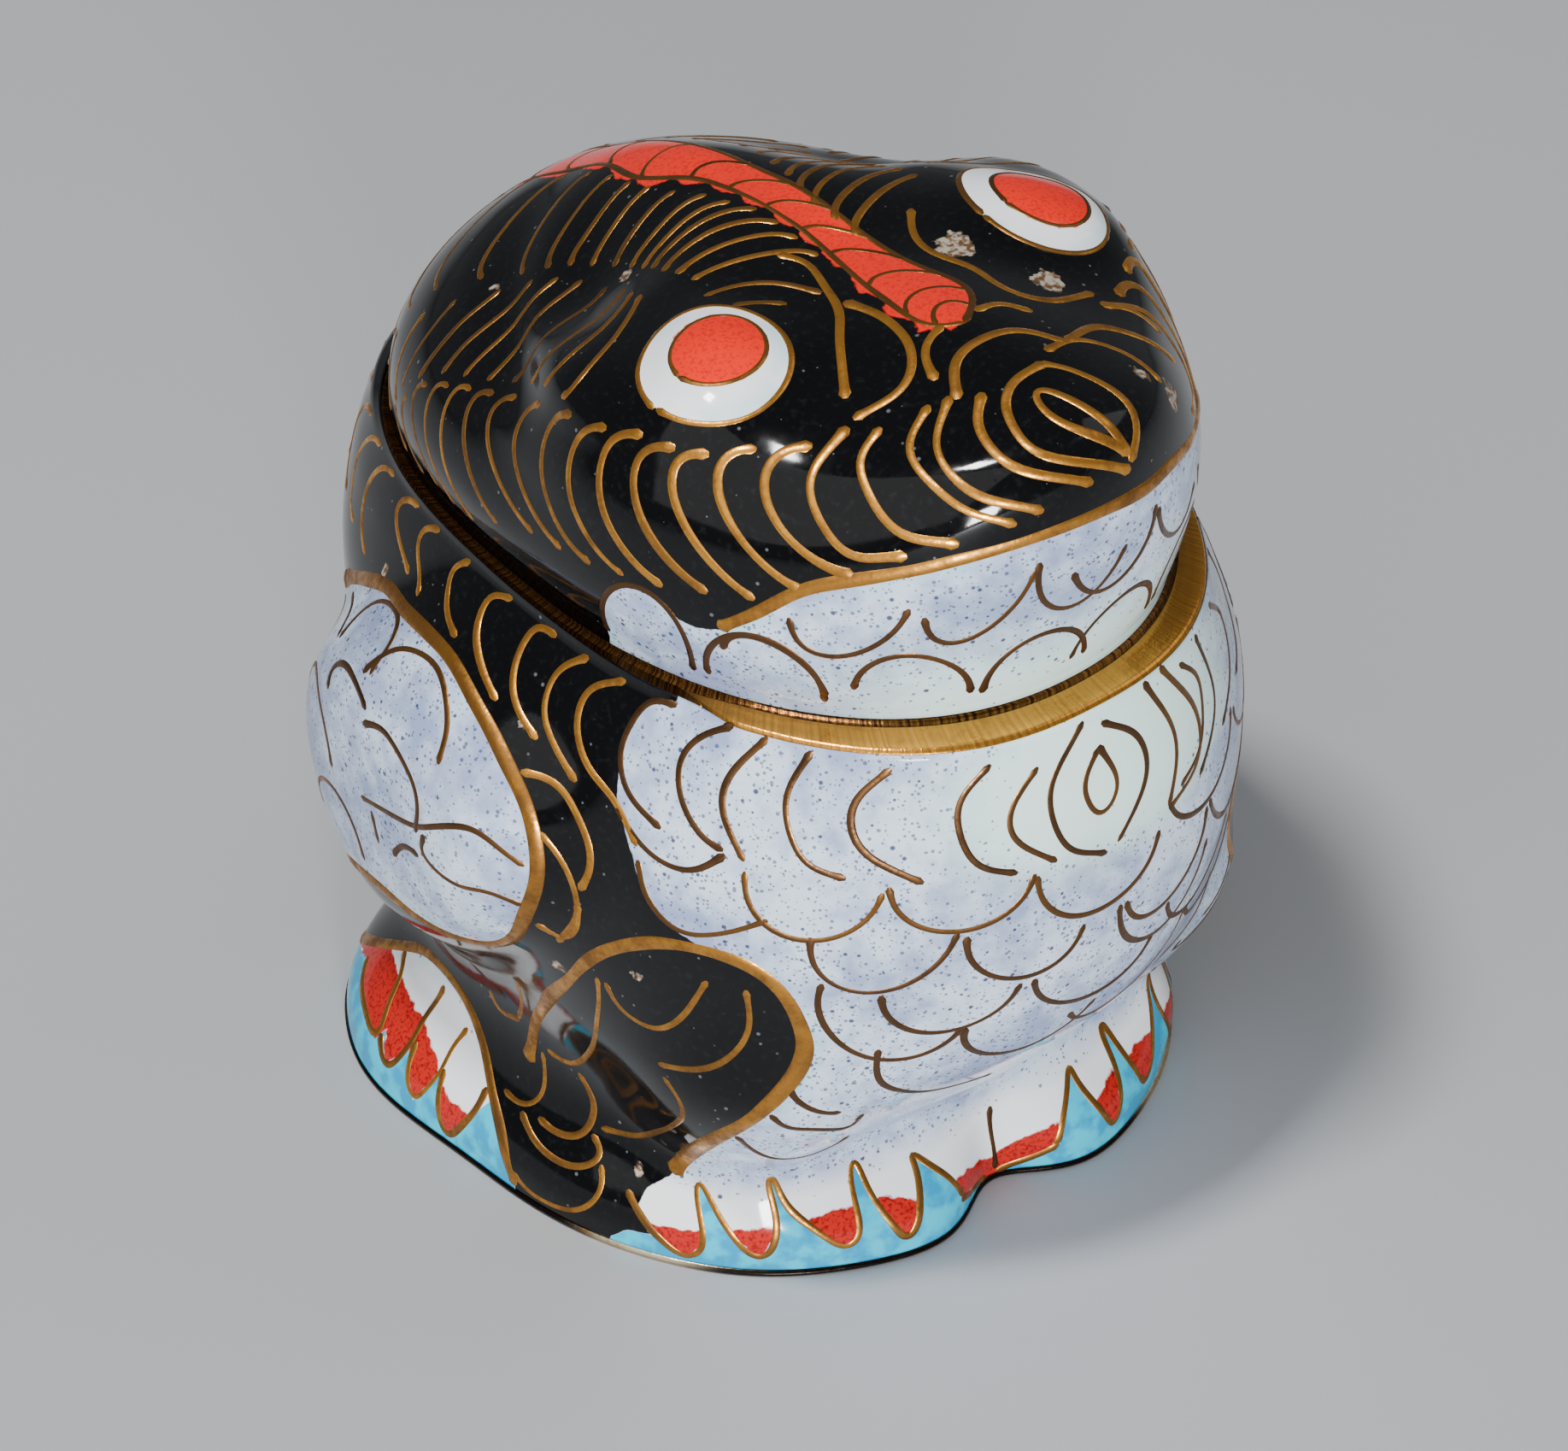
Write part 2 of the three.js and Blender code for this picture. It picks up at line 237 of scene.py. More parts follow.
class LidForm(Form):
    """Head and back. A chart place is (across, back) in degrees from the crown."""

    CHIN, BACK, HALF, CROWN = 22.9, 25.0, 17.2, 16.6
    ROWS = np.array(
        [
            [0, 1, 1, 1, 2.15, 2.5],
            [12, 1.081, 0.958, 1.081, 2.15, 2.2],
            [24, 1.203, 0.881, 1.074, 2.1, 1.95],
            [33, 1.262, 0.819, 1.041, 1.95, 1.75],
            [40, 1.15, 0.785, 1.044, 1.85, 1.7],
            [50, 0.996, 0.751, 0.964, 1.85, 1.7],
            [62, 0.835, 0.719, 0.964, 1.9, 1.8],
            [75, 0.741, 0.678, 0.98, 2, 2],
            [90, CROWN / CHIN, CROWN / BACK, CROWN / HALF, 2, 2],
        ]
    )
    BROW_AZIMUTH, BROW_ANGLE, BROW_SPREAD, BROW_FIRMNESS, BROW_BULGE = 69.6, 43.1, 22.9, 2.55, 3.3
    EYE_DOME, EYE_RADIUS, EYE_FIRMNESS = 1.2, 3.6, 2.5
    EYE_PLACE = np.array([10.7, -8.0, 54.87])
    EYE_FACING = np.array([0.25, -0.1, 0.96]) / np.linalg.norm([0.25, -0.1, 0.96])

    def reach(self, azimuth: np.ndarray, elevation: np.ndarray) -> np.ndarray:
        """Distance of the outer face from the middle of the lid's lower edge, in mm."""
        ahead = 0.5 + 0.5 * np.clip(2.5 * np.cos(np.radians(azimuth)), -1, 1)
        front_power = smooth_column(self.ROWS, 4, elevation)
        back_power = smooth_column(self.ROWS, 5, elevation)
        reach = rounded(
            azimuth,
            smooth_column(self.ROWS, 1, elevation) * self.CHIN,
            smooth_column(self.ROWS, 2, elevation) * self.BACK,
            smooth_column(self.ROWS, 3, elevation) * self.HALF,
            back_power + (front_power - back_power) * ahead,
        )
        up, brow = np.radians(elevation), math.radians(self.BROW_ANGLE)
        for side in Side:
            turn = np.radians(azimuth - side.value * self.BROW_AZIMUTH)
            near = np.cos(turn) * np.cos(up) * math.cos(brow) + np.sin(up) * math.sin(brow)
            apart = np.degrees(np.arccos(np.clip(near, -1, 1)))
            reach = reach + self.BROW_BULGE * np.exp(-((apart / self.BROW_SPREAD) ** self.BROW_FIRMNESS))
        here = self.place(azimuth, elevation, reach)
        rise = 0.0
        for side in Side:
            apart = self.eye_distance(here, side)
            rise = rise + self.EYE_DOME * np.exp(-((apart / self.EYE_RADIUS) ** self.EYE_FIRMNESS))
        return reach + rise - SKIN

    @staticmethod
    def place(azimuth: np.ndarray, elevation: np.ndarray, reach: np.ndarray) -> np.ndarray:
        """Points at a reach from the middle of the lid's lower edge."""
        turn, up = np.radians(azimuth), np.radians(elevation)
        level = reach * np.cos(up)
        x, y = level * np.sin(turn), LID_AXIS_Y - level * np.cos(turn)
        return np.stack([x, y, LID_FLOOR + reach * np.sin(up)], -1)

    def eye_distance(
        self, points: np.ndarray, side: Side, shift: Pair = (0.0, 0.0), oval: float = 1.0
    ) -> np.ndarray:
        """Distance of points from an eye's own axis, moved by shift across and back."""
        flip = np.array([side.value, 1.0, 1.0])
        move = np.array([shift[0], shift[1], 0.0])
        apart = (points * flip - self.EYE_PLACE - move) * (1.0, 1 / oval, 1.0)
        along = apart @ self.EYE_FACING
        return np.linalg.norm(apart - along[..., None] * self.EYE_FACING, axis=-1)

    def chart(self, places: np.ndarray) -> np.ndarray:
        """Chart places of (azimuth, elevation) pairs."""
        places = np.asarray(places, float)
        turn, away = np.radians(places[..., 0]), 90 - places[..., 1]
        return np.stack([away * np.sin(turn), -away * np.cos(turn)], -1)

    def point(self, chart: np.ndarray) -> np.ndarray:
        """Points of the outer face at chart places."""
        azimuth = np.degrees(np.arctan2(chart[..., 0], -chart[..., 1]))
        elevation = 90 - np.hypot(chart[..., 0], chart[..., 1])
        return self.place(azimuth, elevation, self.reach(azimuth, elevation))


BODY_FORM = BodyForm()
LID_FORM = LidForm()


def lining(reach, first: np.ndarray, second: np.ndarray, wall: float, scales: Pair) -> np.ndarray:
    """Reach of a face that lies at least one wall inside another, whichever way that one turns."""
    least = np.full(np.broadcast(first, second).shape, np.inf)
    for u in (-1, -0.5, 0, 0.5, 1):
        for v in (-1, -0.5, 0, 0.5, 1):
            depth = 1 - u * u - v * v
            if depth >= 0:
                near = reach(first + u * scales[0], second + v * scales[1]) - wall * math.sqrt(depth)
                least = np.minimum(least, near)
    return least


# Meshes


def new_object(name: str, data: bpy.types.ID) -> bpy.types.Object:
    """Object at the origin, linked into the scene."""
    thing = bpy.data.objects.new(name, data)
    bpy.context.scene.collection.objects.link(thing)
    return thing


def mesh_object(name: str, vertices: np.ndarray, faces: list) -> bpy.types.Object:
    """Smooth object from points in millimetres and faces of indices."""
    mesh = bpy.data.meshes.new(name)
    mesh.from_pydata((np.asarray(vertices) * MM).tolist(), [], faces)
    mesh.update()
    mesh.polygons.foreach_set("use_smooth", [True] * len(mesh.polygons))
    return new_object(name, mesh)


def loft(name: str, rings: np.ndarray, ends: tuple = ()) -> bpy.types.Object:
    """Closed skin over rings that follow each other.

    Args:
        name: Name of the new object.
        rings: Rings, their points and x, y, z in mm.
        ends: Two points that close the first and last ring, or nothing where the rings form a loop.

    Returns:
        The object, with its faces outwards where the rings turn to the left as they rise.
    """
    count, around = rings.shape[:2]
    row = np.arange(count if not ends else count - 1)[:, None]
    step = np.arange(around)[None, :]
    here, there = (row % count) * around, ((row + 1) % count) * around
    nxt = (step + 1) % around
    quads = np.stack([here + step, here + nxt, there + nxt, there + step], -1).reshape(-1, 4)
    faces = quads.tolist()
    vertices = rings.reshape(-1, 3)
    if ends:
        vertices = np.vstack([vertices, np.asarray(ends, float)])
        first, last = count * around, count * around + 1
        for i in range(around):
            j = (i + 1) % around
            faces.append([first, j, i])
            faces.append([last, (count - 1) * around + i, (count - 1) * around + j])
    return mesh_object(name, vertices, faces)


def put_attribute(thing: bpy.types.Object, name: str, values: np.ndarray) -> None:
    """Write one number for each vertex of an object."""
    layer = thing.data.attributes.new(name, "FLOAT", "POINT")
    layer.data.foreach_set("value", np.asarray(values, np.float32).ravel())


def inside_distance(points: np.ndarray, outline: np.ndarray) -> np.ndarray:
    """Distance of chart points from a closed outline, above zero inside it.

    Args:
        points: Chart points, a row each.
        outline: Corners of the outline, a row each.

    Returns:
        The distances in chart units.
    """
    best = np.full(len(points), np.inf)
    inside = np.zeros(len(points), bool)
    for a, b in zip(outline, np.roll(outline, -1, axis=0)):
        edge = b - a
        t = np.clip(((points - a) @ edge) / max(edge @ edge, 1e-9), 0, 1)
        best = np.minimum(best, np.linalg.norm(points - a - t[:, None] * edge, axis=1))
        crosses = (a[1] > points[:, 1]) != (b[1] > points[:, 1])
        level = a[0] + (points[:, 1] - a[1]) * edge[0] / (edge[1] if edge[1] else 1e-9)
        inside ^= crosses & (points[:, 0] < level)
    return np.where(inside, best, -best)


# Pieces in the place of the solids

AROUND = 420
AZIMUTHS = np.arange(AROUND) * 360 / AROUND
SEAM_CLOSES = (44, 58)  # azimuths between which the enamel closes over the rim's slope
BACK_LEANS = (122, 158)  # azimuths between which the enamel's upright edge leans in to the lid
RIM_COVER = (0.02, 0.9)  # least share of the slope that is covered, and what the closed seam adds
LID_GAP = 0.15


def level_ring(reach: np.ndarray, height: float, axis_y: float = 0.0) -> np.ndarray:
    """Points of a level ring of a given reach round an upright axis."""
    turn = np.radians(AZIMUTHS)
    x, y = reach * np.sin(turn), axis_y - reach * np.cos(turn)
    return np.stack([x, y, np.full(AROUND, float(height))], -1)


def body_reach(height: float) -> np.ndarray:
    """Reach of the body at every azimuth of a ring."""
    return BODY_FORM.reach(AZIMUTHS, np.full(AROUND, float(height)))


def lid_ring(reach: np.ndarray, height: float) -> np.ndarray:
    """Points of a level ring round the lid's own axis."""
    return level_ring(reach, height, LID_AXIS_Y)


def lid_edge() -> np.ndarray:
    """Reach of the lid's lower edge at every azimuth of a ring."""
    return LID_FORM.reach(AZIMUTHS, np.zeros(AROUND))


def away_from_front(stretch: Pair) -> np.ndarray:
    """Share from nothing to one over a stretch of azimuths on both sides, for a ring."""
    t = np.clip((np.abs(turn_from(AZIMUTHS, 0)) - stretch[0]) / (stretch[1] - stretch[0]), 0, 1)
    return t * t * (3 - 2 * t)


def closed_seam() -> np.ndarray:
    """One where the lid sits close on the enamel, nothing in front where the rim shows."""
    return away_from_front(SEAM_CLOSES)


def rim_cover() -> np.ndarray:
    """Share of the rim's slope that the enamel covers: none in front, nearly all elsewhere."""
    return RIM_COVER[0] + RIM_COVER[1] * closed_seam()


def rim_slope(share: np.ndarray, upright: float = 0.0) -> np.ndarray:
    """Ring on the slope from the body's top edge (0) to the lid's lower edge (1).

    Args:
        share: How far up the slope the ring lies.
        upright: How much of the way inwards is left out at the sides.

    Returns:
        The ring's points.
    """
    low = level_ring(body_reach(BODY_TOP), BODY_TOP)
    high = lid_ring(lid_edge() + LID_GAP, SEAM)
    ways = np.broadcast_to(share, AROUND)[:, None] * np.ones(3)
    sides = closed_seam() * (1 - away_from_front(BACK_LEANS))
    ways[:, :2] *= 1 - upright * sides[:, None]
    return low + (high - low) * ways


@dataclass
class BodyShell:
    """Belly, haunches and feet: an open enamelled shell."""

    wall: float = 1.8
    rim_inset: float = 0.35
    upright: float = 0.9
    ledge_upright: float = 0.765
    ledge_drop: float = 0.55
    foot_top: float = 8.0
    foot_rows: int = 60
    belly_rows: int = 90
    edge_rows: int = 4
    lining_rows: int = 22

    def rings(self) -> np.ndarray:
        """Rings up the outer face, over the top edge and down the lining."""
        low = np.linspace(PLATE_TOP, self.foot_top, self.foot_rows, endpoint=False)
        heights = np.concatenate([low, np.linspace(self.foot_top, BODY_TOP, self.belly_rows)])
        outer = [level_ring(body_reach(z), z) for z in heights]
        shares = np.arange(1, self.edge_rows + 1) / self.edge_rows
        outer += [rim_slope(rim_cover() * share, self.upright) for share in shares]
        ledge = [rim_slope(rim_cover(), self.ledge_upright) - (0, 0, self.ledge_drop)]
        ledge.append(level_ring(body_reach(RIM_FOOT) - self.rim_inset, RIM_FOOT))
        scales = (math.degrees(self.wall / BodyForm.FLANK), self.wall)
        inner = []
        for z in np.linspace(RIM_FOOT, PLATE_TOP, self.lining_rows):
            place = np.full(AROUND, z)
            inner.append(level_ring(lining(BODY_FORM.reach, AZIMUTHS, place, self.wall, scales), z))
        return np.array(outer + ledge + inner)

    def build(self) -> bpy.types.Object:
        """The shell as an object."""
        rings = self.rings()
        body = loft("body_shell", rings)
        inside = np.arange(len(rings)) >= len(rings) - self.lining_rows
        put_attribute(body, "lining", np.repeat(inside, AROUND))
        return body


@dataclass
class LidShell:
    """Head and back: a hollow enamelled dome."""

    wall: float = 1.8
    rows: int = 130
    lining_rows: int = 20
    top: float = 89.3  # elevation of the last ring, in degrees
    lining_top: float = 86.3
    least_cosine: float = 0.3
    edge_profile: tuple = ((1.4, 0.34), (0.24, 0.34), (0.2, 0.08), (0.1, 0.05), (0.0, 0.12))  # inset, lift

    def build(self) -> bpy.types.Object:
        """The dome as an object."""
        turn = math.degrees(self.wall / LidForm.CROWN)

        def inner_reach(elevation: float) -> np.ndarray:
            """Reach of the lining at one elevation."""
            scales = (turn / max(math.cos(math.radians(elevation)), self.least_cosine), turn)
            return lining(LID_FORM.reach, AZIMUTHS, np.full(AROUND, elevation), self.wall, scales)

        edge = lid_edge()
        outer = [lid_ring(edge - inset, SEAM + lift) for inset, lift in self.edge_profile]
        for angle in np.linspace(0, self.top, self.rows):
            place = np.full(AROUND, angle)
            outer.append(LID_FORM.place(AZIMUTHS, place, LID_FORM.reach(AZIMUTHS, place)))
        inner = []
        for angle in np.linspace(self.lining_top, 0, self.lining_rows):
            inner.append(LID_FORM.place(AZIMUTHS, np.full(AROUND, angle), inner_reach(angle)))
        crown = inner[0].mean(axis=0)
        tip = LID_FORM.point(np.zeros((1, 2)))[0]
        lid = loft("lid_shell", np.array(inner + outer), (crown, tip))
        inside = np.repeat(np.arange(len(inner + outer)) < self.lining_rows, AROUND)
        put_attribute(lid, "lining", np.append(inside, (True, False)))
        return lid


@dataclass
class MouthRim:
    """Gilt ring on the body's top edge, level inside and sloping outside."""

    seat: float = 2.4
    groove: float = 0.45
    inset: float = 0.36
    thickness: float = 0.3
    lip: float = 0.3
    bevel: float = 0.1
    profile: tuple = (  # share of the slope, lift in mm and how dark the gilt is: the band's own copper tone, then painted shade in the groove
        (0.0, -0.12, 0.1), (0.05, 0.06, 0.0), (0.12, 0.15, 0.0), (0.2, 0.12, 0.04), (0.4, 0.04, 0.3),
        (0.65, 0.0, 0.36), (0.84, 0.0, 0.45), (0.88, -0.04, 0.85), (0.93, -0.35, 1.0),
    )

    def build(self) -> bpy.types.Object:
        """The ring as an object."""
        edge, cover = lid_edge(), rim_cover()
        foot = level_ring(body_reach(RIM_FOOT) - self.inset, RIM_FOOT)
        under = rim_slope(cover) - (0, 0, self.thickness)
        rising = np.array([0, 0, 1.0])
        sunk = -self.groove * closed_seam()[:, None] * rising
        rings, tones = [foot, under], [1.0, 0.5]
        for t, lift, tone in self.profile:
            rings.append(rim_slope(cover + (1 - cover) * t) + rising * lift * (1 - cover[:, None]) + sunk)
            tones.append(tone)
        lip = lid_ring(edge - self.lip, SEAM)
        rings += [rim_slope(1.0) + sunk, lip + sunk, lip]
        rings += [lid_ring(edge - self.seat, z) for z in (SEAM, SEAM - self.bevel, RIM_FOOT)]
        tones += [1.0] * (len(rings) - len(tones))
        rim = loft("mouth_rim_gilt", np.array(rings))
        # At the sides, where the rim shows only as a groove, the whole rim is darkened as painted shade.
        put_attribute(rim, "tone", np.maximum(closed_seam()[None, :], np.array(tones)[:, None]))
        return rim


@dataclass
class LidRim:
    """Gilt edge under the lid, with the collar that drops into the mouth."""

    seat: float = 2.4
    clearance: float = 0.4
    thickness: float = 0.9
    depth: float = 3.4
    bevel: float = 0.08
    inset: float = 0.3
    rise: float = 0.3
    crown: float = 0.02

    def build(self) -> bpy.types.Object:
        """The edge and its collar as one object."""
        edge = lid_edge() - self.inset
        outer = edge + self.inset - self.seat - self.clearance
        inner = outer - self.thickness
        low, b = SEAM - self.depth, self.bevel
        stations = [
            (edge - b, SEAM),
            (edge, SEAM + b),
            (edge, SEAM + self.rise),
            (edge - b / 4, SEAM + self.rise + self.crown),
            (inner, SEAM + self.rise + self.crown),
            (inner, SEAM + self.rise),
            (inner, low + b),
            (inner + b, low),
            (outer - b, low),
            (outer, low + b),
            (outer, SEAM),
        ]
        return loft("lid_rim_gilt", np.array([lid_ring(reach, z) for reach, z in stations]))


@dataclass
class BottomSheet:
    """Sheet soldered under the feet, a thin gilt edge round them."""

    lip: float = 0.14
    measured_at: float = 0.8
    profile: tuple = (  # share of the outline and height in mm
        (0.15, 0.0), (0.94, 0.0), (1.0, 0.1), (1.0, 0.28),
        (0.985, PLATE_TOP), (0.9, PLATE_TOP), (0.15, PLATE_TOP),
    )
    rubbed: tuple = ((-60, 9), (37, 9), (150, 14), (-155, 12))  # azimuth and spread of each bare stretch
    middle_tone: float = 0.6

    def build(self) -> bpy.types.Object:
        """The sheet as an object."""
        reach = body_reach(self.measured_at) + self.lip
        rings = np.array([level_ring(reach * share, z) for share, z in self.profile])
        sheet = loft("bottom_sheet", rings, ((0, 0, 0), (0, 0, PLATE_TOP)))
        bare = sum(np.exp(-((turn_from(AZIMUTHS, middle) / spread) ** 4)) for middle, spread in self.rubbed)
        tones = np.tile(1 - bare, len(rings))
        put_attribute(sheet, "tone", np.append(tones, (self.middle_tone, self.middle_tone)))
        return sheet


# Wires


class WireShading(float, Enum):
    """How dark a wire is painted: bright in black enamel, and brown in white as a painted dark reflection."""

    BRIGHT = 0.0
    WARM = 0.45
    BROWN = 1.0


FINE, THIN, BOLD, THICK = 0.17, 0.24, 0.33, 0.58
FLATNESS = 0.45
SUNK = 0.6


def arch(form: Form, start: Pair, apex: Pair, end: Pair, count: int = 22) -> np.ndarray:
    """Half an ellipse on a form's chart, through its two ends and its apex."""
    a, m, b = form.chart(np.array([start, apex, end]))
    middle, half = (a + b) / 2, (b - a) / 2
    t = np.linspace(0, math.pi, count)[:, None]
    return middle - half * np.cos(t) + (m - middle) * np.sin(t)


def trace(form: Form, places: tuple, closed: bool = False) -> np.ndarray:
    """Smooth chart path through (azimuth, height or elevation) pairs."""
    return catmull(form.chart(np.array(places)), 12, closed)


def rails(form: Form, top: tuple, middle: tuple, bottom: tuple, count: int) -> list[np.ndarray]:
    """A row of arches that hang between three rails.

    Args:
        form: The form that the rails lie on.
        top: Rail of the arches' starts.
        middle: Rail of their apexes.
        bottom: Rail of their ends.
        count: How many arches the row has.

    Returns:
        The chart path of each arch.
    """
    lines = [catmull(form.chart(np.array(rail)), 16) for rail in (top, middle, bottom)]
    t = np.linspace(0, math.pi, 22)[:, None]
    paths = []
    for share in np.linspace(0, 1, count):
        ends = []
        for line in lines:
            spot = share * (len(line) - 1)
            low = min(int(spot), len(line) - 2)
            ends.append(line[low] + (line[low + 1] - line[low]) * (spot - low))
        a, m, b = ends
        centre = (a + b) / 2
        paths.append(centre - (b - a) / 2 * np.cos(t) + (m - centre) * np.sin(t))
    return paths


@dataclass
class WireWork:
    """Flat gilt wires bent by hand and set on edge in the enamel of one form."""

    name: str
    form: Form
    seed: int
    spacing: float = 0.3
    shake: float = 0.045
    bead: float = 0.28
    uneven: float = 0.07
    smoothing: int = 8
    bend: float = 2.5
    melt: float = 0.5
    end_width: float = 0.55
    tone_spread: float = 0.1
    tone_waves: float = 0.08
    chart_scale: float = 1.0
    runs: list = field(default_factory=list)

    def lay(self, path: np.ndarray, tone: float, half_width: float = THIN, mirror: bool = True) -> None:
        """Add a wire along a chart path, and its mirror image on the other half."""
        self.runs.append((path, tone, half_width))
        if mirror:
            self.runs.append((path * (-1, 1), tone, half_width))

    def polylines(self) -> bpy.types.Object:
        """Edges along the middle of every wire, with the numbers that the node tree reads."""
        rng = np.random.default_rng(self.seed)
        points, normals, widths, tones, edges = [], [], [], [], []
        total = 0
        for path, tone, half_width in self.runs:
            spots = self.form.point(path)
            far = np.concatenate([[0], np.cumsum(np.linalg.norm(np.diff(spots, axis=0), axis=1))])
            count = max(6, int(far[-1] / self.spacing))
            even = np.linspace(0, far[-1], count)
            chart = np.stack([np.interp(even, far, path[:, i]) for i in (0, 1)], -1)
            for _ in range(self.smoothing):
                chart[1:-1] = chart[1:-1] / 2 + (chart[:-2] + chart[2:]) / 4
            knots = max(3, int(far[-1] / self.bend))
            bends = catmull(rng.normal(0, 1, (knots, 3)), 8)
            reach = np.linspace(0, len(bends) - 1, count)
            bends = np.stack([np.interp(reach, np.arange(len(bends)), bends[:, i]) for i in range(3)], -1)
            chart += bends[:, :2] * self.shake * self.chart_scale
            normal = self.form.normal(chart)
            points.append(self.form.point(chart) - normal * half_width * FLATNESS * SUNK)
            normals.append(normal)
            from_end = np.minimum(even, far[-1] - even)
            melted = 1 + self.bead * np.exp(-((from_end / self.melt) ** 2)) + self.uneven * bends[:, 2]
            melted[[0, -1]] *= self.end_width
            widths.append(half_width * MM * melted)
            tones.append(np.clip(tone + rng.normal(0, self.tone_spread) + self.tone_waves * bends[:, 2], 0, 1))
            edges += [(total + i, total + i + 1) for i in range(count - 1)]
            total += count
        mesh = bpy.data.meshes.new(self.name)
        mesh.from_pydata((np.vstack(points) * MM).tolist(), edges, [])
        thing = bpy.data.objects.new(self.name, mesh)
        bpy.context.scene.collection.objects.link(thing)
        layer = mesh.attributes.new("facing", "FLOAT_VECTOR", "POINT")
        layer.data.foreach_set("vector", np.vstack(normals).astype(np.float32).ravel())
        put_attribute(thing, "half_width", np.concatenate(widths))
        put_attribute(thing, "tone", np.concatenate(tones))
        return thing

    @staticmethod
    def tree() -> bpy.types.GeometryNodeTree:
        """Node tree that gives each edge line a flat rounded section, lying on the enamel."""
        tree = bpy.data.node_groups.new("flat_wire", "GeometryNodeTree")
        side = tree.interface
        side.new_socket("Geometry", in_out="INPUT", socket_type="NodeSocketGeometry")
        side.new_socket("Section points", in_out="INPUT", socket_type="NodeSocketInt").default_value = 10
        side.new_socket("Flatness", in_out="INPUT", socket_type="NodeSocketVector")
        side.new_socket("Finish", in_out="INPUT", socket_type="NodeSocketMaterial")
        side.new_socket("Geometry", in_out="OUTPUT", socket_type="NodeSocketGeometry")
        new, link = tree.nodes.new, tree.links.new
        given, out = new("NodeGroupInput"), new("NodeGroupOutput")
        curve, turned = new("GeometryNodeMeshToCurve"), new("GeometryNodeSetCurveNormal")
        turned.mode = "FREE"
        facing, width = new("GeometryNodeInputNamedAttribute"), new("GeometryNodeInputNamedAttribute")
        facing.data_type, width.data_type = "FLOAT_VECTOR", "FLOAT"
        facing.inputs["Name"].default_value, width.inputs["Name"].default_value = "facing", "half_width"
        circle, section = new("GeometryNodeCurvePrimitiveCircle"), new("GeometryNodeTransform")
        circle.inputs["Radius"].default_value = 1.0
        swept, shaded = new("GeometryNodeCurveToMesh"), new("GeometryNodeSetShadeSmooth")
        swept.inputs["Fill Caps"].default_value = True
        real, dressed = new("GeometryNodeRealizeInstances"), new("GeometryNodeSetMaterial")
        link(given.outputs["Geometry"], curve.inputs["Mesh"])
        link(curve.outputs["Curve"], turned.inputs["Curve"])
        link(facing.outputs["Attribute"], turned.inputs["Normal"])
        link(given.outputs["Section points"], circle.inputs["Resolution"])
        link(circle.outputs["Curve"], section.inputs["Geometry"])
        link(given.outputs["Flatness"], section.inputs["Scale"])
        link(turned.outputs["Curve"], swept.inputs["Curve"])
        link(section.outputs["Geometry"], swept.inputs["Profile Curve"])
        link(width.outputs["Attribute"], swept.inputs["Scale"])
        link(swept.outputs["Mesh"], shaded.inputs["Geometry"])
        link(shaded.outputs["Geometry"], real.inputs["Geometry"])
        link(real.outputs["Geometry"], dressed.inputs["Geometry"])
        link(given.outputs["Finish"], dressed.inputs["Material"])
        link(dressed.outputs["Geometry"], out.inputs["Geometry"])
        return tree

    def build(self, tree: bpy.types.GeometryNodeTree, finish: bpy.types.Material) -> bpy.types.Object:
        """All wires as one plain mesh.

        Args:
            tree: The node tree that gives the wires their section.
            finish: The wires' material.

        Returns:
            The wires as one object.
        """
        thing = self.polylines()
        modifier = thing.modifiers.new("flat_wire", "NODES")
        modifier.node_group = tree
        sockets = {s.name: s.identifier for s in tree.interface.items_tree if s.in_out == "INPUT"}
        modifier[sockets["Section points"]] = 10
        modifier[sockets["Flatness"]] = (FLATNESS, 1.0, 1.0)
        modifier[sockets["Finish"]] = finish
        graph = bpy.context.evaluated_depsgraph_get()
        mesh = bpy.data.meshes.new_from_object(thing.evaluated_get(graph))
        old = thing.data
        thing.modifiers.remove(modifier)
        thing.data = mesh
        bpy.data.meshes.remove(old)
        return thing


# Drawing on the lid, as (azimuth, elevation) pairs; what is mirrored lies on the right half

MOUTH_LINE = (
    (-49.5, 13), (-44.5, 16.5), (-38.5, 20.5), (-33.5, 22.5), (-22.5, 24), (-12, 24.9), (0, 25.3),
)
STRIPE_RIGHT = (
    (-174, 9), (-173, 18), (-172.5, 28), (-172.5, 42.5), (-163.5, 56.5), (-165.5, 69.5), (-160, 80.5),
    (-36, 86), (-10, 75.5), (-9.5, 61.5), (-7.5, 53), (-1, 51),
)
STRIPE_LEFT = ((176, 9), (175.5, 18), (175.5, 28), (176, 42.5), (175, 59), (161.5, 75), (98, 84.5), (25, 76),
               (14, 65.5), (13, 57.5), (8, 53.5), (-1, 51))
STRIPE_END = ((-174, 9), (-179, 6.5), (176, 9))


@dataclass(frozen=True)
class EyeSpot:
    """Round enamel spot on an eye: half width, length over width, and shift across and back."""

    radius: float
    oval: float
    shift: Pair


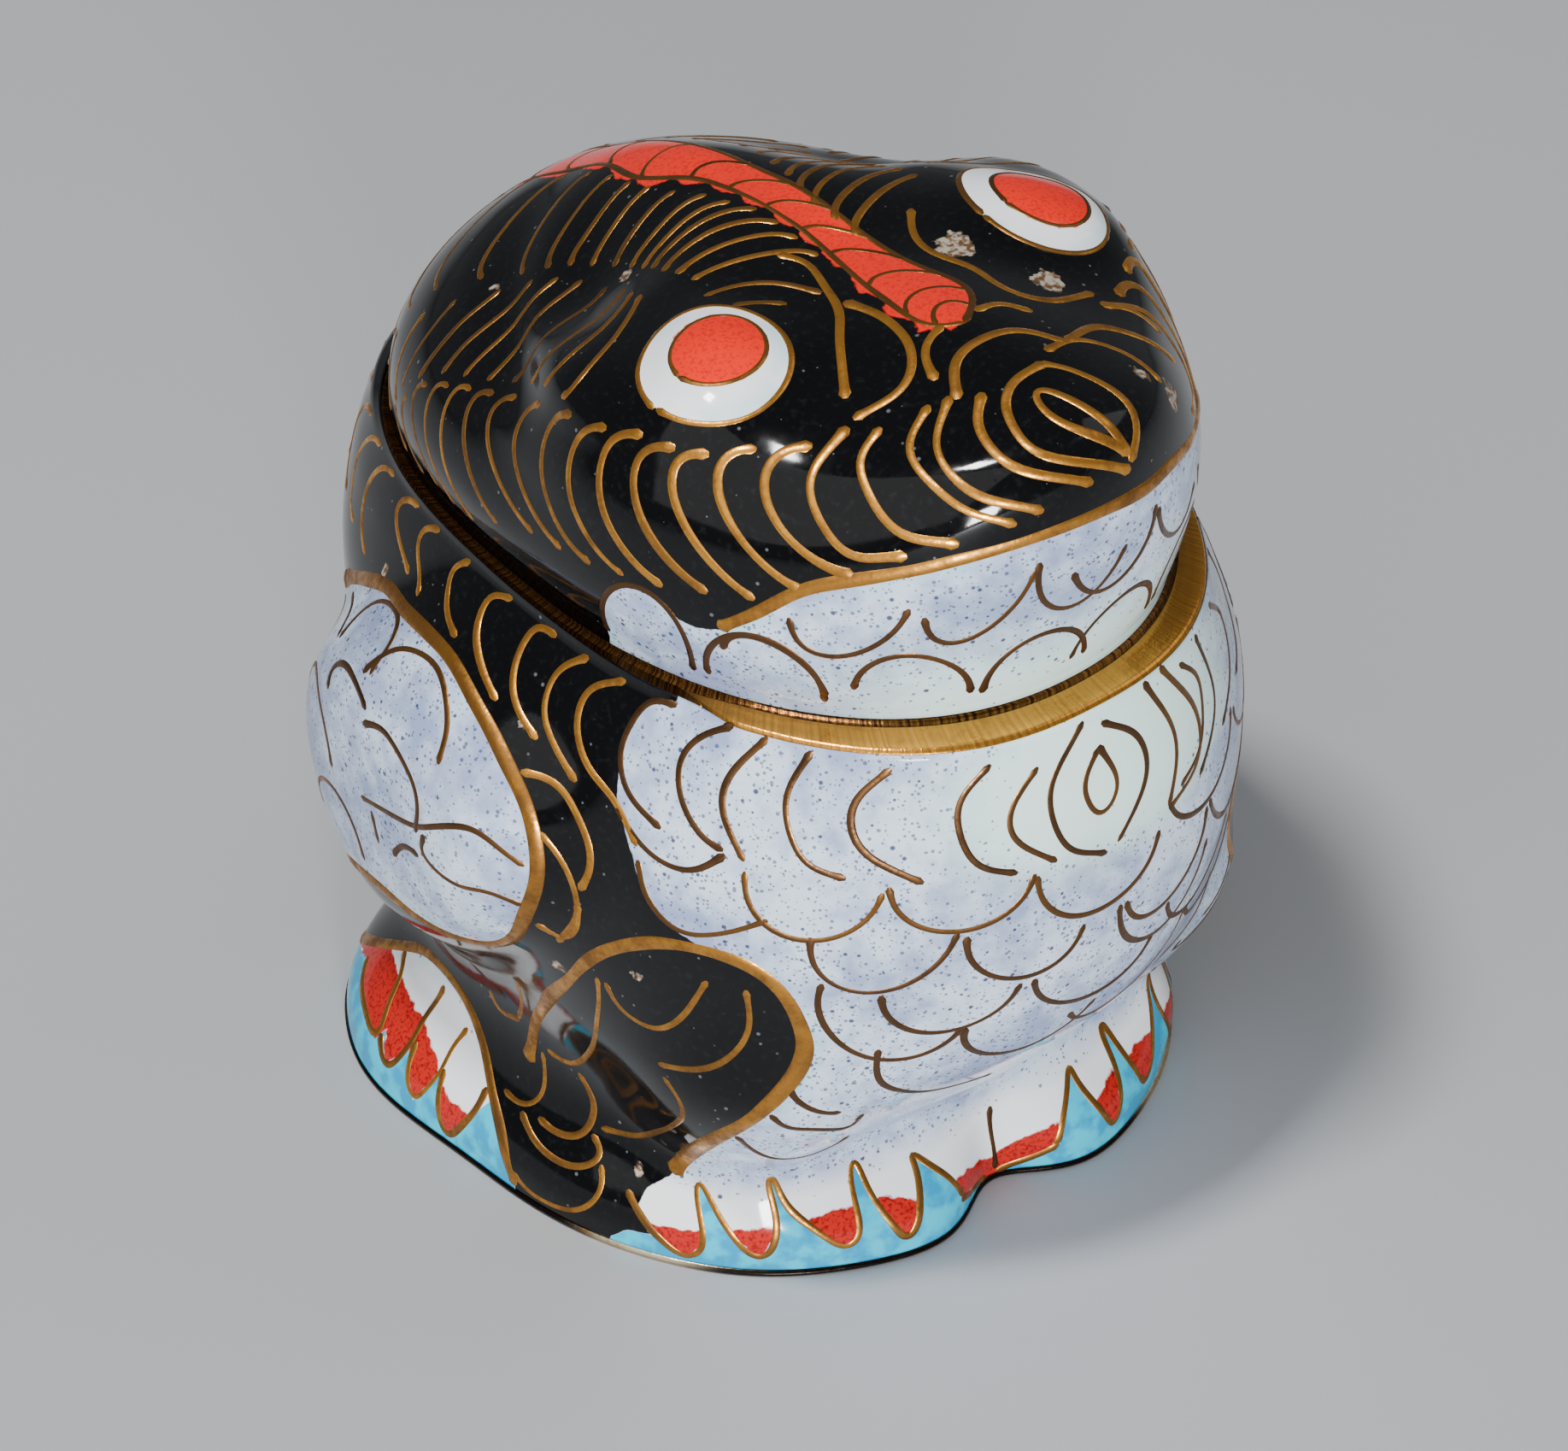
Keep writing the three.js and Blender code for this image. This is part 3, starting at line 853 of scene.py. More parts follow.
EYE_WHITES = {Side.RIGHT: EyeSpot(3.92, 1.03, (0.14, 0.0)), Side.LEFT: EyeSpot(3.66, 1.26, (0.18, 0.48))}
IRISES = {Side.RIGHT: EyeSpot(2.6, 0.95, (-0.4, 0.15)), Side.LEFT: EyeSpot(2.42, 1.22, (0.39, 0.36))}
NOSE_CURLS = (
    ((-8.5, 42), (-12, 38.5), (-12, 34.5), (-9, 32), (-2, 29)),
    ((-12.5, 42), (-9, 46.5), (-3, 48), (6, 47), (11, 42.5)),
    ((3, 42), (-4.5, 41.5), (-8, 38), (-7, 33.5), (4, 28)),
    ((4, 29), (7, 32), (8, 35.5), (6, 39.5), (2, 42)),
    ((4, 30), (-2.5, 35.5), (-3, 38.5), (-1.5, 40), (1, 37.5), (4, 30)),
    ((4, 52), (11, 51), (14, 47.5)),
    ((-5, 52), (-10.5, 50.5), (-13, 47.5), (-13.5, 45)),
    ((11, 42.5), (21, 41), (25.5, 36.5), (28.5, 31)),
    ((5.5, 43), (13.5, 42), (18, 38), (17.5, 33)),
)
NEAR_CURLS = (
    ((-29.5, 41.5), (-37, 34.5), (-32, 26), (-24.5, 25.5)),
    ((-24.5, 41), (-29, 36.5), (-25.5, 28.5), (-18.5, 26)),
    ((-16.5, 42), (-22, 37), (-18, 30.5), (-12, 27.5)),
    ((-13, 42.5), (-18.5, 36.5), (-16, 31.5), (-8.5, 28)),
    ((-21, 63), (-14.5, 58), (-14, 50.5), (-19, 45), (-28.5, 42.5)),
)
FAR_CURLS = (
    ((55, 69.5), (35.5, 68.5), (25, 64), (23, 57.5), (18.5, 51.5), (22, 46.5), (32.5, 42.5)),
    ((29.5, 41), (34, 38), (33.5, 33)),
)
BROW = ((-51.5, 76.5), (-29.5, 75), (-24.5, 67.5), (-23.5, 61), (-27, 55), (-29, 45.5))
EYE_LINES = (
    ((-71, 62), (-64.5, 66), (-49, 69), (-35, 68), (-27, 66)),
    ((-59, 61.5), (-51, 64), (-41, 64)),
)
SPINE_ROW = dict(
    top=((-173, 26.5), (-169, 44.5), (-160.5, 58.5), (-152, 74), (-103, 85.5), (-20.5, 76.5)),
    middle=((-160, 21), (-154.5, 40), (-147, 53), (-134, 66), (-116, 73), (-58, 77)),
    bottom=((-146.5, 20), (-138.5, 38.5), (-133.5, 49), (-117, 59), (-103, 63), (-82.5, 64.5)),
    count=13,
)
FLANK_ROW = dict(
    top=((-140.5, 24.5), (-135.5, 38.5), (-128, 48), (-107.5, 56), (-95, 57.5)),
    middle=((-136, 17), (-129.5, 29), (-118.5, 35), (-101, 44.5), (-85, 46)),
    bottom=((-133.5, 10), (-126, 20), (-115.5, 27), (-103, 34.5), (-86.5, 38)),
    count=9,
)
REAR_ROWS = (
    dict(top=((-171, 7), (-172, 20)), middle=((-160, 2.5), (-160, 14.5)),
         bottom=((-149, 2.5), (-148, 13.5)), count=3),
    dict(top=((-147, 10), (-142.5, 18)), middle=((-143, 5), (-139, 11.5)),
         bottom=((-140, 1.5), (-135.5, 6)), count=2),
    dict(top=((-136, 5.5), (-131, 11)), middle=((-135, 2.5), (-131, 5.5)),
         bottom=((-131, 1), (-124, 2)), count=2),
)
CHEEK_ROW = dict(
    top=((-127, 16.5), (-117, 24), (-104.5, 30.5), (-82, 36.5), (-65, 38), (-53, 37.5), (-36, 39.5)),
    middle=((-127.5, 10.5), (-118, 16), (-104.5, 21.5), (-86, 25.5), (-71.5, 28.5), (-57, 30), (-43, 32)),
    bottom=((-118, 4), (-106, 5.5), (-86.5, 15), (-72, 16.5), (-58.5, 18), (-44.5, 19), (-31, 23)),
    count=13,
)
CHIN_ARCHES = (
    ((-39.5, 17), (-33, 11), (-24.5, 19)),
    ((-22.5, 17.5), (-17, 13), (-9.5, 21)),
    ((-9, 22), (-4, 13.5), (4, 19)),
    ((-49, 9.5), (-42, 12.5), (-34.5, 3)),
    ((-31, 5), (-23.5, 11.5), (-15.5, 3)),
    ((-14, 2.5), (-7, 10.5), (1, 3)),
    ((-71, 2), (-62.8, 16.4), (-54.5, 2)),
    ((-52, 2.5), (-44.5, 13), (-34.5, 2)),
)
CHIN_FLOOR = ((10, -8), (-10, -8), (-30, -8), (-50, -8), (-72, -8))
CHIN_SIDE = ((-71, 6), (-69.5, 11), (-65.5, 15), (-59.5, 15.3), (-55, 12.5)) + MOUTH_LINE + ((10, 25),)
LID_ROWS = (  # each row, with the tones and half widths of its first and last wire; the darker tone at the back end is painted shade
    (SPINE_ROW, (0.55, 0.3), (0.2, 0.28)),
    (FLANK_ROW, (0.6, 0.5), (0.2, 0.27)),
    (CHEEK_ROW, (0.55, 0.0), (0.2, 0.35)),
)
CHIN_SCALE, STRIPE_SCALE = 0.36, 0.3  # mm to a degree of the chart
EYES_ABOVE = 48.0
MINT_BAND, MINT_SPREAD = 9.5, 48.0


CHIPS = (  # azimuth, elevation and radius in mm of each bare spot
    (33, 61.5, 1.0), (30, 48, 0.9), (15, 35.5, 0.45), (18.5, 31, 0.75), (-139.5, 31, 0.35), (-116.5, 57, 0.3),
)


def draw_lid() -> WireWork:
    """Every wire of the head and back."""
    work = WireWork("lid_wires", LID_FORM, seed=7, chart_scale=3.0)
    form, bright, brown = LID_FORM, WireShading.BRIGHT, WireShading.BROWN
    for row, dark, wide in LID_ROWS:
        for share, path in zip(np.linspace(0, 1, row["count"]), rails(form, **row)):
            work.lay(path, dark[0] + (dark[1] - dark[0]) * share, wide[0] + (wide[1] - wide[0]) * share)
    for row in REAR_ROWS:
        for path in rails(form, **row):
            work.lay(path, 0.4)
    for places in NOSE_CURLS + FAR_CURLS + NEAR_CURLS + (BROW,):
        work.lay(trace(form, places), bright, BOLD, mirror=False)
    work.lay(trace(form, NEAR_CURLS[0]) * (-1, 1), bright, BOLD, mirror=False)
    for places in EYE_LINES:
        work.lay(trace(form, places), 0.3, THIN, mirror=False)
    # Brown for the wires in white enamel is a painted dark reflection.
    for a, m, b in CHIN_ARCHES:
        work.lay(arch(form, a, m, b), brown)
    lips = MOUTH_LINE + tuple((-a, e) for a, e in MOUTH_LINE[-2::-1])
    work.lay(trace(form, lips), 0.25, THICK * 0.85, False)
    for edge in (STRIPE_RIGHT, STRIPE_LEFT):
        work.lay(trace(form, edge), WireShading.WARM, mirror=False)
    right, left = (catmull(form.chart(np.array(edge)), 16) for edge in (STRIPE_RIGHT, STRIPE_LEFT))
    work.lay(trace(form, STRIPE_END), WireShading.WARM, mirror=False)
    for share in np.concatenate([(0.04, 0.11, 0.17), np.linspace(0.223, 0.943, 11)]):
        a, b = (line[int(share * (len(line) - 1))] for line in (right, left))
        t = np.linspace(0, math.pi, 16)[:, None]
        sag = np.array([0.0, 3.2])
        work.lay((a + b) / 2 - (b - a) / 2 * np.cos(t) + sag * np.sin(t), 0.7, FINE, mirror=False)
    for side in Side:
        work.lay(eye_ring(side, EYE_WHITES[side]), 0.35, THIN * 0.85, False)
        work.lay(eye_ring(side, IRISES[side]), 0.6, FINE, False)
    return work


def scale_tips(path: np.ndarray, depth: float, count: int) -> np.ndarray:
    """A chart path that swells sideways (to its left, if depth is positive) into rounded tips."""
    ahead = np.gradient(path, axis=0)
    aside = np.stack([-ahead[:, 1], ahead[:, 0]], -1) / np.linalg.norm(ahead, axis=1, keepdims=True)
    along = np.linspace(0, 1, len(path))
    swell = np.abs(np.sin(along * count * math.pi)) * np.clip((1 - along) * 8, 0, 1)
    return path + aside * depth * swell[:, None]


def eye_ring(side: Side, spot: EyeSpot) -> np.ndarray:
    """Chart path of the edge of a round spot on an eye."""
    form = LID_FORM
    facing = form.EYE_FACING * (side.value, 1, 1)
    across = np.cross(facing, (0.0, 1.0, 0.0))
    across /= np.linalg.norm(across)
    back = np.cross(across, facing)
    centre = (form.EYE_PLACE + (*spot.shift, 0)) * (side.value, 1, 1)
    turn = np.linspace(0, 2 * math.pi, 64)[:, None]
    ring = centre + spot.radius * (np.cos(turn) * across + np.sin(turn) * back * spot.oval)
    chart = np.zeros((len(ring), 2))
    for _ in range(8):
        from_axis = ring - (0, LID_AXIS_Y, LID_FLOOR)
        azimuth = np.degrees(np.arctan2(from_axis[:, 0], -from_axis[:, 1]))
        elevation = np.degrees(np.arctan2(from_axis[:, 2], np.hypot(from_axis[:, 0], from_axis[:, 1])))
        chart = form.chart(np.stack([azimuth, elevation], -1))
        gap = ((form.point(chart) - ring) @ facing)[:, None]
        ring = ring + gap * facing
    return chart


# Drawing on the body, as (azimuth, height) pairs; what is mirrored lies on the right half

HAUNCH = ((-134, 29.4), (-123.5, 32.5), (-112, 34), (-97.5, 34.8), (-87.5, 34.2), (-79.5, 32.9), (-73.5, 30.6),
          (-71.3, 27.5), (-73.5, 23.7), (-78.5, 20.3), (-84, 18.9), (-92, 18.6), (-102, 18.6), (-114, 16.5),
          (-126, 12), (-140, 13), (-146, 19), (-142, 26))
HAUNCH_CURLS = (
    ((-113.5, 28.7), (-115, 29.8), (-111.5, 30.8), (-106, 30.8), (-103.5, 30.4)),
    ((-103, 29.6), (-99, 30.4), (-94, 29.8), (-90.5, 28.9), (-89.5, 27.7), (-90, 26.2)),
    ((-103.5, 24.5), (-98, 25.4), (-92.5, 26.2), (-89, 26.8), (-84.5, 28.1), (-79.5, 28.9), (-73, 27.5)),
    ((-88, 26.6), (-89, 25.2), (-85, 24.7), (-81, 24.7), (-77.5, 25.2), (-73.5, 24.5)),
    ((-101, 24.3), (-100, 23.5), (-99.5, 22.4)),
    ((-96, 22.7), (-93, 24.5), (-89.5, 24.7)),
    ((-119, 30.2), (-120, 31.5), (-117.5, 32.9), (-111, 33.8), (-107, 33.3), (-106, 31.8)),
    ((-107.5, 31.5), (-106.5, 32.7), (-104, 33.6), (-98.5, 34.2), (-93.5, 34.0), (-88.5, 32.7), (-87.5, 31)),
    ((-129, 30.2), (-123.5, 30.4), (-120, 30.0)),
)
HAUNCH_ARCHES = (
    ((-140, 23.5), (-133.5, 28), (-126.5, 24.5)),
    ((-126, 24), (-119, 28), (-111.5, 24)),
    ((-138, 16.5), (-130, 21.5), (-121.5, 17.5)),
    ((-120, 18.5), (-112.5, 22.5), (-105, 19.5)),
)
SHOULDER_CURLS = (
    ((-120.5, 38.1), (-124, 37.8), (-125.5, 36.7), (-120.5, 35.4), (-116, 34.9)),
    ((-113.5, 38.1), (-117, 37.6), (-117, 36.3), (-110.5, 34.9)),
    ((-104, 38.1), (-107.5, 37.1), (-103.5, 35.9), (-97, 35.5)),
    ((-91, 38.1), (-96.5, 37.6), (-95, 36.3), (-90, 35.4), (-84, 34.5)),
    ((-79, 38.1), (-84, 38), (-85, 36.5), (-82, 35), (-75.5, 33.8)),
    ((-71, 38.1), (-76.5, 36.7), (-76.5, 35), (-73, 33.8), (-68, 32.5)),
    ((-63, 38.1), (-69.5, 36.9), (-70.5, 35.2), (-67, 33.3), (-61.5, 32.3), (-57.5, 30.6)),
    ((-76, 32.3), (-72.5, 32.3), (-69, 31.7), (-65, 29.6), (-64.5, 27.9), (-66, 26.4)),
    ((-71.5, 29.6), (-69.5, 28.9), (-67, 27.1), (-66.5, 24.5), (-70.5, 21.6)),
    ((-72.5, 22.9), (-70, 21.8), (-67, 23.1), (-66.5, 25.4)),
)
LEG_CURLS = (
    ((-64.5, 20.1), (-65, 17.8), (-68.5, 13.2), (-75, 9.6), (-81.5, 9.2)),
    ((-86.5, 13.6), (-87, 11.5), (-89, 9.9)),
    ((-97.5, 10.1), (-95, 9), (-89, 9.9)),
    ((-89.5, 5.2), (-85.5, 5), (-82.5, 5.5), (-81.5, 6.5), (-83, 8.8)),
    ((-81, 5), (-77.5, 4.8), (-72.5, 5.2), (-71, 6.3), (-71, 7.8), (-74, 9.2)),
    ((-84.5, 4.8), (-79.5, 3.8), (-73, 3.6), (-68.5, 4.4), (-68, 5.2), (-70.5, 5.7)),
    ((-83, 1.7), (-79.5, 0.9), (-71.5, 1.2), (-67, 2.7), (-66.5, 3.8), (-67.5, 4.4)),
    ((-63, 20.1), (-61, 18.5), (-55.5, 18.2), (-51.5, 19.9), (-48, 23.3)),
    ((-43, 23.2), (-42.5, 20.4), (-44.5, 18.4), (-48.5, 16.9), (-55, 15.9)),
    ((-54.5, 15.1), (-52, 13.8), (-52.5, 11.7), (-60.5, 7.1), (-69, 6.3)),
)
FORELEG = (
    (-86.5, 7.5), (-84, 10.8), (-77.5, 14.5), (-71, 17.9), (-65, 21.6), (-58, 24.1), (-50.5, 25.4),
    (-43, 25), (-38.5, 23.1), (-36, 20.1), (-37, 17.6), (-41.5, 14.7), (-48.5, 10.5), (-55.5, 5.4),
)
BELLY_EDGE = ((-54, 38.3), (-58.5, 37.9), (-61.5, 35.9), (-62, 34.6), (-61.3, 32.5), (-58.5, 30.2), (-56.5, 28),
              (-52, 26.2), (-47, 25.3))
WHITE_SIDE = BELLY_EDGE + FORELEG[7:13] + (
    (-56, 5.2), (-59.5, 4.2), (-60.5, 3), (-57.5, 1.9), (-54, -3), (14, -3), (14, 46), (-54, 46),
)
BELLY_CURLS = (
    ((-54, 38.2), (-58.5, 37.9), (-61.5, 35.9), (-62, 34.6), (-60, 33.1), (-54.5, 32.1)),
    ((-45.5, 38.2), (-50, 37.3), (-53, 35.9), (-52.5, 34), (-49, 32.3), (-46, 31.9)),
    ((-40.5, 38.2), (-45.5, 35.9), (-46.5, 34), (-43.5, 31.5)),
    ((-35, 38), (-38.5, 35.2), (-36.5, 32.1), (-31.5, 31.2)),
    ((-25.5, 37.5), (-30.5, 35.4), (-30, 32.9), (-23, 30.8)),
    ((-14.5, 37.3), (-18.5, 35.2), (-17, 31.7), (-12, 30.4)),
    ((-61.5, 32.3), (-58, 31), (-54.5, 30.2), (-50, 30.2), (-46, 31.7)),
    ((-57.5, 29.8), (-56, 27.7), (-51.5, 26.2), (-46, 26.8), (-40.5, 28.3)),
)
BREAST_CURLS = (
    ((-8.5, 36.3), (-12.5, 34.4), (-12.5, 32.5), (-7, 30.2)),
    ((-2, 37.8), (-7.5, 34.8), (-6, 31), (0, 29.4)),
    ((0.5, 37.3), (5.5, 35.4), (6.5, 32.7), (1.5, 29.6)),
    ((7.5, 38), (12, 33.6), (10, 29.8)),
    ((10.5, 38.2), (16.5, 34.2), (16, 31), (10, 29.6)),
    ((19, 37.8), (22, 33.1), (16, 29.8)),
    ((-0.2, 36.0), (-3.0, 34.0), (-1.0, 31.7), (2.2, 33.2), (-0.2, 36.0)),
)
BELLY_ARCHES = (
    ((-43.5, 31), (-37, 27.2), (-27.5, 30.4)),
    ((-26.5, 30.8), (-19, 27.4), (-10, 30)),
    ((-35.5, 27.5), (-29, 23.6), (-19, 27.3)),
    ((-18, 27.1), (-11.5, 22.9), (-3, 25.1)),
    ((-27.5, 23.3), (-20, 19.8), (-11, 22.5)),
    ((-34, 24.3), (-29, 18.5), (-17.5, 19.8)),
    ((-17, 19.8), (-9.5, 15.8), (2, 17.6)),
    ((-38, 16.6), (-35.5, 14.9), (-31.5, 13.9)),
)
MIDDLE_ARCHES = (
    ((-9.5, 29.8), (-1.5, 25.6), (8, 28.7)),
    ((-9, 22.5), (0, 18.4), (9.5, 20.8)),
    ((2, 25.2), (10, 20.5), (19, 24.5)),
)
FOOT_CURLS = (
    ((-44.5, 12), (-42.5, 10.3), (-38.5, 8.8), (-33.5, 8.4), (-29.5, 10.1)),
    ((-40.5, 14.5), (-38.5, 13.2), (-35, 12.8), (-29.5, 11.5), (-28.5, 13)),
    ((-27.5, 18.9), (-27.5, 17.2), (-26, 15.5), (-18.5, 13), (-8, 12)),
)
FRONT_TOES = ((-62.5, 3.8), (-57.5, 1.9), (-52.5, 0.6), (-49.7, 2.1), (-51.8, 5), (-51.2, 5.6), (-49.8, 4.8),
              (-46, 2.9), (-42, 1.2), (-39.5, 3.4), (-41, 5.9), (-40.3, 6.5), (-38.5, 4.6), (-33.5, 2.9),
              (-29.5, 1.5), (-27.5, 2.5), (-28, 5.2), (-27.3, 6), (-25.5, 4.2), (-22.5, 2.5), (-20, 1.1),
              (-18, 2.5), (-17, 4.4), (-18, 5.4), (-14.5, 4.4), (-11.5, 3.4), (-9.5, 1.9))
TOE_GAP = ((1, 4.8), (0.5, 2.9), (0.8, 0.6))
GAP_EDGE = ((-9.8, 1.8), (-6, 1.0), (-1.2, 0.45))
HIND_EDGE = (
    (-143, 0.6), (-140.5, 1.5), (-135.5, 3), (-128, 5.2), (-120.5, 7.1), (-113.5, 7.8), (-107, 7.8),
    (-102.5, 7.3), (-97, 6.1), (-92.5, 5), (-88.5, 3.8), (-85.5, 2.7), (-82.5, 0.7),
)
HIND_TOES = (
    ((-130, 3.6), (-126, 3.1), (-120.5, 2.9), (-115.7, 2.6), (-116, 3.4), (-118.5, 4.2), (-120.5, 5.2),
     (-124.5, 5.9)),
    ((-115.5, 3.1), (-111, 1.9), (-109.5, 3.6), (-111, 5), (-111, 7)),
    ((-109.3, 4), (-107, 2.5), (-104.3, 1.4), (-102, 3.6), (-103, 5), (-102, 6.3)),
    ((-101.8, 4), (-99.8, 2.3), (-98, 0.7), (-96.5, 0.8), (-93, 3.1), (-92.8, 4.6)),
)
HIND_SAW = ((-150, 3), (-136, 2.5), (-130, 3.6), (-126, 3.1), (-120.5, 2.9), (-115.7, 2.6), (-114.8, 3.4),
            (-111, 1.9), (-109.3, 3.8), (-107, 2.5), (-104.3, 1.4), (-102, 3.8), (-99.8, 2.3), (-98, 0.7),
            (-96.5, 0.8), (-93, 3.1), (-91, 4.3), (-85.5, 2.7), (-82.5, 0.7), (-82, -3), (-150, -3))
HIND_FOOT = HIND_EDGE + ((-81.5, -3), (-144.5, -3))
FRONT_SAW = (
    (-65, -3), (-64.5, 0.6), (-62, 1.5), (-58, 1.8), *FRONT_TOES[2:], (-5, 0.9), (0, 0.2), (14, 0.2), (14, -3),
)
RED_LINE = np.array([
    (-150, 0), (-130, 5.2), (-118, 5.2), (-110, 4.9), (-104, 4.1), (-99, 2.9), (-92, 2.9), (-80, 0), (-62, 2.3),
    (-52, 2.7), (-42, 3.4), (-33, 3.7), (-23, 3.8), (-16, 3), (-12, 3.2), (-7, 2.8), (-3, 2.2), (0, 1.7),
])
BACK_ROWS = (
    dict(top=((-172, 38), (-150, 38), (-129, 38)), middle=((-178, 35.2), (-156, 35.3), (-135, 35.6)),
         bottom=((-172, 32.6), (-150, 32.6), (-129, 32.6)), count=7),
    dict(top=((-171, 31.5), (-160, 31.5), (-149, 31.2)), middle=((-178, 28.2), (-167, 28.2), (-156, 28)),
         bottom=((-171, 25), (-160, 25), (-149.5, 25)), count=4),
    dict(top=((-172, 23.8), (-163, 23.8), (-154, 23.5)), middle=((-178.5, 20.8), (-169, 20.6), (-160, 20.2)),
         bottom=((-172, 17.8), (-162, 17.8), (-153, 17.4)), count=3),
    dict(top=((-170, 16.5), (-160, 16.4), (-149, 16)), middle=((-177.5, 13.5), (-167, 13.2), (-156, 12.6)),
         bottom=((-171, 10.5), (-160, 10.2), (-150, 9.6)), count=4),
)


NICKS = ((-58, 22, 0.35), (-61, 4.8, 0.3), (-122, 33.6, 0.35), (-72, 19, 0.45), (-79, 34.2, 0.22))


def draw_body() -> WireWork:
    """Every wire of the belly, haunches and feet."""
    work = WireWork("body_wires", BODY_FORM, seed=11)
    form, bright, warm, brown = BODY_FORM, WireShading.BRIGHT, WireShading.WARM, WireShading.BROWN
    work.lay(trace(form, HAUNCH, closed=True), warm, THICK)
    work.lay(trace(form, FORELEG), warm, THICK)
    work.lay(trace(form, HIND_EDGE), warm, THICK * 0.75)
    for places in SHOULDER_CURLS:
        work.lay(trace(form, places), bright + 0.15, THIN * 1.1)
    for places in LEG_CURLS:
        work.lay(trace(form, places), bright + 0.35)
    # Brown for the wires in white enamel is a painted dark reflection.
    for places in HAUNCH_CURLS + BELLY_CURLS + FOOT_CURLS:
        work.lay(trace(form, places), brown)
    for places in BREAST_CURLS:
        work.lay(trace(form, places), brown, mirror=False)
    for a, m, b in BELLY_ARCHES + HAUNCH_ARCHES:
        work.lay(arch(form, a, m, b), brown)
    for a, m, b in MIDDLE_ARCHES:
        work.lay(arch(form, a, m, b), brown, mirror=False)
    for places in (FRONT_TOES, GAP_EDGE) + HIND_TOES:
        work.lay(trace(form, places), warm, THIN * 1.1)
    work.lay(trace(form, TOE_GAP), brown, mirror=False)
    for row in BACK_ROWS:
        for path in rails(form, **row):
            work.lay(path, bright + 0.25)
    return work


# Colours that the shapes carry


def mirrored(points: np.ndarray) -> np.ndarray:
    """Chart points folded onto the frog's right half."""
    return np.stack([-np.abs(points[:, 0]), points[:, 1]], -1)


def vertex_chart(thing: bpy.types.Object, lid: bool) -> tuple[np.ndarray, np.ndarray]:
    """Chart places and points in mm of every vertex of a shell."""
    spots = np.zeros(len(thing.data.vertices) * 3, np.float32)
    thing.data.vertices.foreach_get("co", spots)
    spots = spots.reshape(-1, 3).astype(float) / MM
    middle = np.array([0, LID_AXIS_Y, LID_FLOOR]) if lid else np.zeros(3)
    x, y, z = (spots - middle).T
    azimuth = np.degrees(np.arctan2(x, -y))
    if lid:
        return LID_FORM.chart(np.stack([azimuth, np.degrees(np.arctan2(z, np.hypot(x, y)))], -1)), spots
    return BODY_FORM.chart(np.stack([azimuth, z], -1)), spots


def chipped(form: Form, places: tuple, spots: np.ndarray) -> np.ndarray:
    """Distance of points inside the nearest chip, of (azimuth, height or elevation, radius in mm) each."""
    marks = np.array(places, float)
    middles = form.point(form.chart(marks[:, :2]))
    apart = np.linalg.norm(spots[:, None, :] - middles[None, :, :], axis=-1)
    return (marks[:, 2] - apart).max(axis=1)


def colour_lid(lid: bpy.types.Object) -> None:
    """Write where the lid's white, red and plain white enamels lie, in mm inside their edges."""
    chart, spots = vertex_chart(lid, lid=True)
    form = LID_FORM
    corners = np.vstack([form.chart(np.array(CHIN_FLOOR)), catmull(form.chart(np.array(CHIN_SIDE)), 6)])
    chin = inside_distance(mirrored(chart), corners) * CHIN_SCALE
    ragged = scale_tips(catmull(form.chart(np.array(STRIPE_RIGHT)), 16), depth=-1.7, count=17)
    left, end = (catmull(form.chart(np.array(places)), 6) for places in (STRIPE_LEFT, STRIPE_END))
    edge = np.vstack([ragged, left[::-1], end[::-1]])
    stripe = inside_distance(chart, edge) * STRIPE_SCALE
    above = spots[:, 2] > EYES_ABOVE

    def spot_distance(kind: dict) -> np.ndarray:
        """Distance inside the nearer of the two eyes' spots."""
        pairs = [(spot, form.eye_distance(spots, side, spot.shift, spot.oval)) for side, spot in kind.items()]
        return np.maximum(*(spot.radius - apart for spot, apart in pairs))

    eyes, irises = spot_distance(EYE_WHITES), spot_distance(IRISES)
    eyes, irises = np.where(above, eyes, OUTSIDE), np.where(above, irises, OUTSIDE)
    put_attribute(lid, "white", np.maximum(chin, eyes))
    put_attribute(lid, "red", np.maximum(stripe, irises))
    put_attribute(lid, "turquoise", np.full(len(chart), OUTSIDE))
    put_attribute(lid, "pure", np.where(eyes > -1, 1.0, 0.0))
    near_rim = np.exp(-((np.hypot(chart[:, 0], chart[:, 1]) - 90) / MINT_BAND) ** 2)
    put_attribute(lid, "mint", near_rim * np.exp(-(chart[:, 0] / MINT_SPREAD) ** 4))
    put_attribute(lid, "chip", chipped(form, CHIPS, spots))


def colour_body(body: bpy.types.Object) -> None:
    """Write where the body's white, red and turquoise enamels lie, in mm inside their edges."""
    chart, spots = vertex_chart(body, lid=False)
    folded, form = mirrored(chart), BODY_FORM

    def region(places: tuple) -> np.ndarray:
        """Distance inside a straight-sided outline."""
        return inside_distance(folded, form.chart(np.array(places)))

    haunch = inside_distance(folded, catmull(form.chart(np.array(HAUNCH)), 8, closed=True))
    hind = region(HIND_FOOT)
    white = np.maximum(np.maximum(haunch, region(WHITE_SIDE)), hind)
    front_blue, hind_blue = region(FRONT_SAW), np.minimum(region(HIND_SAW), hind)
    blue = np.maximum(front_blue, hind_blue)
    line = np.interp(folded[:, 0] / form.SCALE, RED_LINE[:, 0], RED_LINE[:, 1])
    red = np.minimum(np.minimum(-blue, line - folded[:, 1]), white)
    put_attribute(body, "white", np.maximum(white, blue))
    put_attribute(body, "red", red)
    put_attribute(body, "turquoise", blue)
    # Pure white on the hind foot and on the toes, fading out by 6.2 mm; the speckled lavender white kept above
    # is partly painted shade under the belly.
    put_attribute(body, "pure", np.clip(hind + 0.5, 0, 1) + np.clip(1 - (folded[:, 1] - 4.6) / 1.6, 0, 1))
    breast = ((chart[:, 0] - 0.8) / 9.0) ** 2 + ((chart[:, 1] - 34.6) / 5.6) ** 2
    put_attribute(body, "mint", np.exp(-(breast**3)))
    put_attribute(body, "chip", chipped(form, NICKS, spots))


# Finishes


